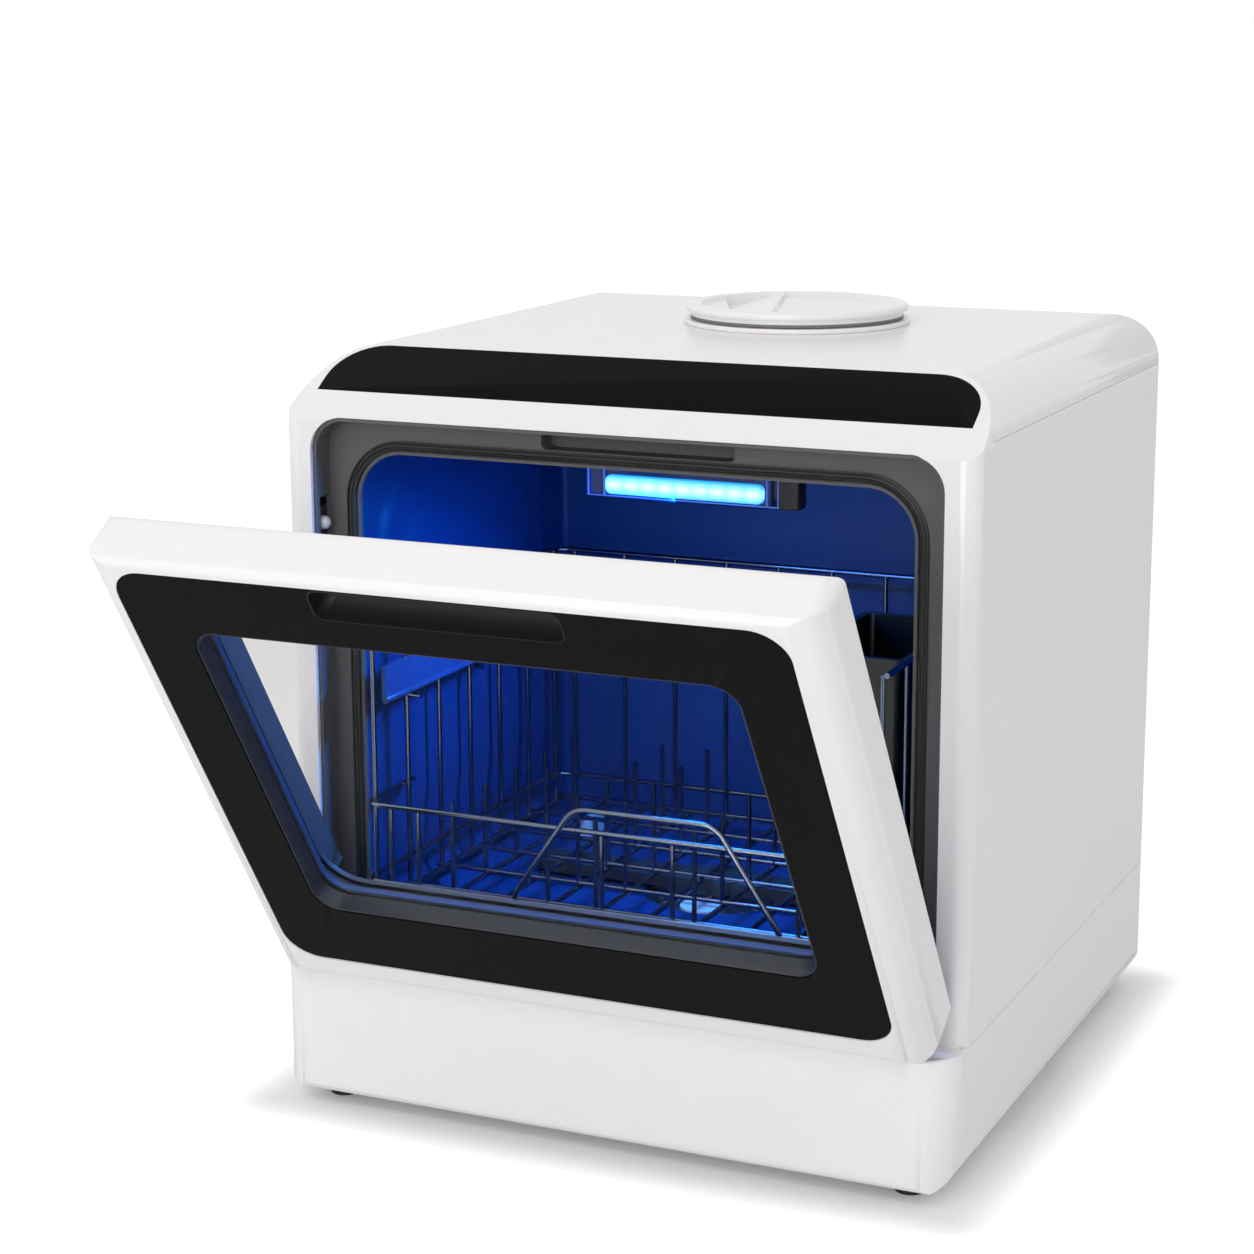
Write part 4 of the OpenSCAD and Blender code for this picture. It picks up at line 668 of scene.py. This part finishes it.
# ---- Handle ----
# A scoop moulded in dark grey ABS behind the top edge of the trim. Its floor sweeps up
# and back, so that the fingers hook behind the upper lip.
# Dark grey ABS: satin, with a fine eroded grain.
dark_abs = moulded("dark grey ABS", "#18181A", "#1E1E20", 0.5, 0.03, (0.38, 0.55),
                   **{"Specular IOR Level": 0.25})
trim_y, scoop_half, scoop_low, scoop_high, scoop_r = -13.2, 69.9, 395.0, 415.8, 6
scoop_end, scoop_deep, scoop_steps = 4.8, 15.4, 14
lip_side, lip_low, lip_high, lip_r = 0.7, 0.5, 0.9, 0.6
# How far the floor of the scoop draws in from its mouth, at the sides, below and above
draw_side, draw_low, draw_high, draw_r = 9, 13, 2.5, 3.6
rings = [door_outline(scoop_half, scoop_low, scoop_high, scoop_r, scoop_end),
         door_outline(scoop_half, scoop_low, scoop_high, scoop_r, trim_y),
         door_outline(scoop_half - lip_side, scoop_low + lip_low, scoop_high - lip_high, scoop_r - lip_r,
                      trim_y)]
for k in range(1, scoop_steps + 1):
    turn = math.radians(90 * k / scoop_steps)
    sweep = 1 - math.cos(turn)
    rings.append(door_outline(
        scoop_half - lip_side - draw_side * sweep, scoop_low + lip_low + draw_low * sweep,
        scoop_high - lip_high - draw_high * sweep ** 3, scoop_r - lip_r - draw_r * sweep,
        trim_y + scoop_deep * math.sin(turn)))
new_piece("handle_scoop", lofted(rings, "handle scoop"), dark_abs, "door", "dark_recess",
          "handle_pocket", sharp=45)

# ---- Window ----
# Two panes with air between them. The inner frame is a grey tray that closes the door
# behind and holds the inner pane; satin liners face the edge of the opening.
dress(grey_abs, "door_inner_frame", edge_mm=0.4)
# Clear tempered glass: so thin that it shows only by a faint reflection.
clear = bpy.data.materials.new("clear tempered glass")
clear.use_nodes = True
clear_shader = clear.node_tree.nodes["Principled BSDF"]
for socket, value in (("Base Color", (1, 1, 1, 1)), ("Transmission Weight", 1.0), ("IOR", 1.04),
                      ("Roughness", 0.0)):
    clear_shader.inputs[socket].default_value = value
dress(clear, "door_window_glass", "door_inner_glass")
window_half, window_low, window_high, window_r, liner_steps = 153.2, 154, 376.5, 16, 12
# Satin ABS: the trim's own dark grey in front; behind the pane the liner is painted slate blue, the tub's
# blue light painted into its colour.
liner_grey = moulded("satin grey ABS", "#2E3036", "#33353C", 0.5, 0.01, (0.3, 0.4))
liner_painted_blue_light = moulded("satin ABS with painted blue light", "#34508C", "#3A5896", 0.5, 0.01, (0.28, 0.38))


def liner(name, material, y0, y1, thick, rounding):
    """A thin band round the window's opening, between two depths, with rounded lips."""
    lips = [(0, y0 + rounding), (0, y1), (thick, y1), (thick, y0 + rounding)]
    if rounding:
        lips += [(thick - rounding * (1 - math.cos(math.radians(a))),
                  y0 + rounding * (1 - math.sin(math.radians(a)))) for a in (30, 60)]
    bands = [door_outline(window_half - inset, window_low + inset, window_high - inset,
                          window_r - inset, y, liner_steps) for inset, y in lips]
    new_piece(name, lofted(bands, name, closed_ways=True), material, "door", "dark_recess")


liner("outer_window_liner", liner_grey, y0=trim_y + 0.3, y1=-1.2, thick=1.2, rounding=0.6)
# The inner liner's slate blue is painted light from the tub.
liner("inner_window_liner", liner_painted_blue_light, y0=2.2, y1=5.4, thick=1.0, rounding=0)
# Zinc-plated steel strikes for the door's catches, and a rubber seal along the foot.
dress(zinc, "door_strikes", edge_mm=0.2)
dress(rubber, "door_bottom_seal", edge_mm=0.5)

# ---- Dish rack ----
# Electropolished stainless wires, bent and welded where they cross: a low rail all round,
# a middle rail in front, a top rail at the sides and back, a floor grid, posts, plate
# tines and a raised handle in front.


def wire_tree():
    """Sweeps a round wire along every curve and gives it its material."""
    tree = bpy.data.node_groups.new("wire", "GeometryNodeTree")
    sockets = {}
    for name, kind in (("Curves", "Geometry"), ("Radius", "Float"), ("Sides", "Int"),
                       ("Material", "Material")):
        socket = tree.interface.new_socket(name, in_out="INPUT", socket_type="NodeSocket" + kind)
        sockets[name] = socket.identifier
    tree.interface.new_socket("Mesh", in_out="OUTPUT", socket_type="NodeSocketGeometry")
    given = add_node(tree, "NodeGroupInput")
    ring = add_node(tree, "GeometryNodeCurvePrimitiveCircle",
                    {"Resolution": (given, 2), "Radius": (given, 1)})
    swept = add_node(tree, "GeometryNodeCurveToMesh",
                     {"Curve": (given, 0), "Profile Curve": (ring, 0), "Fill Caps": True})
    real = add_node(tree, "GeometryNodeRealizeInstances", {0: (swept, 0)})
    coated = add_node(tree, "GeometryNodeSetMaterial", {"Geometry": (real, 0), "Material": (given, 3)})
    add_node(tree, "NodeGroupOutput", {0: (coated, 0)})
    return tree, sockets


def rounded_path(points, bend):
    """A path in millimetres whose inner corners are rounded with the given set-back."""
    path = [Vector(points[0])]
    for before, corner, after in zip(points, points[1:], points[2:]):
        before, corner, after = Vector(before), Vector(corner), Vector(after)
        back = min(bend, (before - corner).length / 2, (after - corner).length / 2)
        first = corner + (before - corner).normalized() * back
        last = corner + (after - corner).normalized() * back
        path += [first * (1 - t) ** 2 + corner * 2 * t * (1 - t) + last * t * t
                 for t in (0, 0.17, 0.33, 0.5, 0.67, 0.83, 1)]
    return path + [Vector(points[-1])]


wires, wire_sockets = wire_tree()


def swept_wires(name, paths, radius, sides, material):
    """The mesh of wires of one thickness along paths in millimetres."""
    curve = bpy.data.curves.new(name, "CURVE")
    curve.dimensions = "3D"
    for path in paths:
        spline = curve.splines.new("POLY")
        spline.points.add(len(path) - 1)
        for spot, point in zip(spline.points, path):
            spot.co = (*at(*point), 1)
    holder = bpy.data.objects.new(name, curve)
    scene.collection.objects.link(holder)
    grow = holder.modifiers.new("wire", "NODES")
    grow.node_group = wires
    grow[wire_sockets["Radius"]] = radius / 1000
    grow[wire_sockets["Sides"]] = sides
    grow[wire_sockets["Material"]] = material
    bpy.context.view_layer.update()
    mesh = bpy.data.meshes.new_from_object(holder.evaluated_get(bpy.context.evaluated_depsgraph_get()))
    bpy.data.objects.remove(holder)
    return mesh


# Electropolished stainless: mid grey with sharp highlights and slight clouding; its faint blue cast is
# painted light, the blue glow of the tub on the wires.
steel = moulded("electropolished stainless wire", "#7E8696", "#727A8B", 1.5, 0.01, (0.1, 0.22), Metallic=1.0)
rack_low, rack_up = extent("dish_rack")
wire_r, post_r, bend_r = 1.7, 1.5, 14
# Step between the middles of two wires that are welded where they cross
weld = 3
rail_x = rack_up.x - wire_r
rack_front, rack_back = 25.7, rack_up.y - wire_r
floor_z, top_z = rack_low.z + wire_r, rack_up.z - wire_r
low_z, high_z, tine_z = floor_z + 18, floor_z + 65, floor_z + 58
post_x = rail_x - weld


def even_places(low, high, count):
    """Evenly spaced places from one end to the other."""
    return [low + i * (high - low) / (count - 1) for i in range(count)]


side_y = even_places(rack_front + 8, rack_back - 8, 7)
cross_y = even_places(rack_front + weld, rack_back - weld, 7)
long_x = even_places(-post_x, post_x, 11)
rear_x = even_places(16 - rail_x, rail_x - 16, 9)
handle_x, grip_half, grip_foot, grip_y, grip_bend = 20, 44, 82, rack_front - 1.5, 9
low_rail = [(0, rack_front, low_z), (rail_x, rack_front, low_z), (rail_x, rack_back, low_z),
            (-rail_x, rack_back, low_z), (-rail_x, rack_front, low_z), (0, rack_front, low_z)]
middle_rail = [(-rail_x, rack_front + 60, high_z), (-rail_x, rack_front, high_z),
               (rail_x, rack_front, high_z), (rail_x, rack_front + 60, high_z)]
top_rail = [(-rail_x, rack_front + 6, top_z), (-rail_x, rack_back, top_z),
            (rail_x, rack_back, top_z), (rail_x, rack_front + 6, top_z)]
grip = [(handle_x - grip_foot, rack_front + weld, floor_z),
        (handle_x - grip_foot, rack_front + weld, low_z - 2),
        (handle_x - grip_foot, grip_y, low_z + 3), (handle_x - grip_half, grip_y, high_z + 13)]
grip += [(2 * handle_x - x, y, z) for x, y, z in reversed(grip)]
rails = [rounded_path(rail, bend_r) for rail in (low_rail, middle_rail, top_rail)]
rails += [[(x, rack_front, floor_z), (x, rack_back, floor_z)] for x in long_x]
rails.append(rounded_path(grip, grip_bend))
thin = [[(-rail_x, y, floor_z + weld), (rail_x, y, floor_z + weld)] for y in cross_y]
thin += [[(side * post_x, y, floor_z), (side * post_x, y, top_z)] for side in (-1, 1) for y in side_y]
thin += [[(x, rack_back - weld, floor_z), (x, rack_back - weld, top_z)] for x in rear_x]
front_x = [16 - rail_x, 34 - rail_x, handle_x - 28, handle_x + 16, rail_x - 48.3, rail_x - 22.3]
thin += [[(x, rack_front + weld, floor_z), (x, rack_front + weld, high_z)] for x in front_x]
tine_x = [long_x[k] for k in (1, 3, 4, 6)]
thin += [[(x, y, floor_z + weld), (x, y, tine_z)] for x in tine_x for y in cross_y[1:6]]
# Two short wires that the cup shelf comes to rest on when it is folded down
shelf_low = extent("cup_shelf")[0]
rest_z, rest_end = shelf_low.z - 2.4, shelf_low.x + 7
thin += [[(-post_x, y, rest_z), (rest_end, y, rest_z)] for y in (side_y[1], side_y[3])]
bm = bmesh.new()
bm.from_mesh(swept_wires("rails", rails, wire_r, 12, steel))
bm.from_mesh(swept_wires("posts", thin, post_r, 10, steel))
new_piece("rack_wires", mesh_from(bm, "rack wires"), steel, "rack", "steel_wire", "dish_rack", sharp=60)

# Natural polypropylene glides, snapped under the floor wires.
dress(pale_pp, "rack_glides")

# ---- Cup shelf ----
# A folding strip of smoked polycarbonate that hooks over a wire on the rack's left side.
# Smoked polycarbonate: slate blue and glossy, with a little light passing through.
shelf = moulded("smoked polycarbonate", "#2F4878", "#385284", 5, 0.03, (0.16, 0.28),
                **{"Transmission Weight": 0.1})
dress(shelf, "cup_shelf", edge_mm=0.7)

# ---- Cutlery basket ----
# One moulding in black polypropylene that stands on the rack's floor: plain walls, a rim,
# a divider and slots in its floor.
# Polished polypropylene: black and glossy, with soft broad highlights.
basket_black = moulded("polished black polypropylene", "#0B0C0F", "#101115", 0.6, 0.01, (0.26, 0.36))
dress(basket_black, "cutlery_basket", edge_mm=0.6)
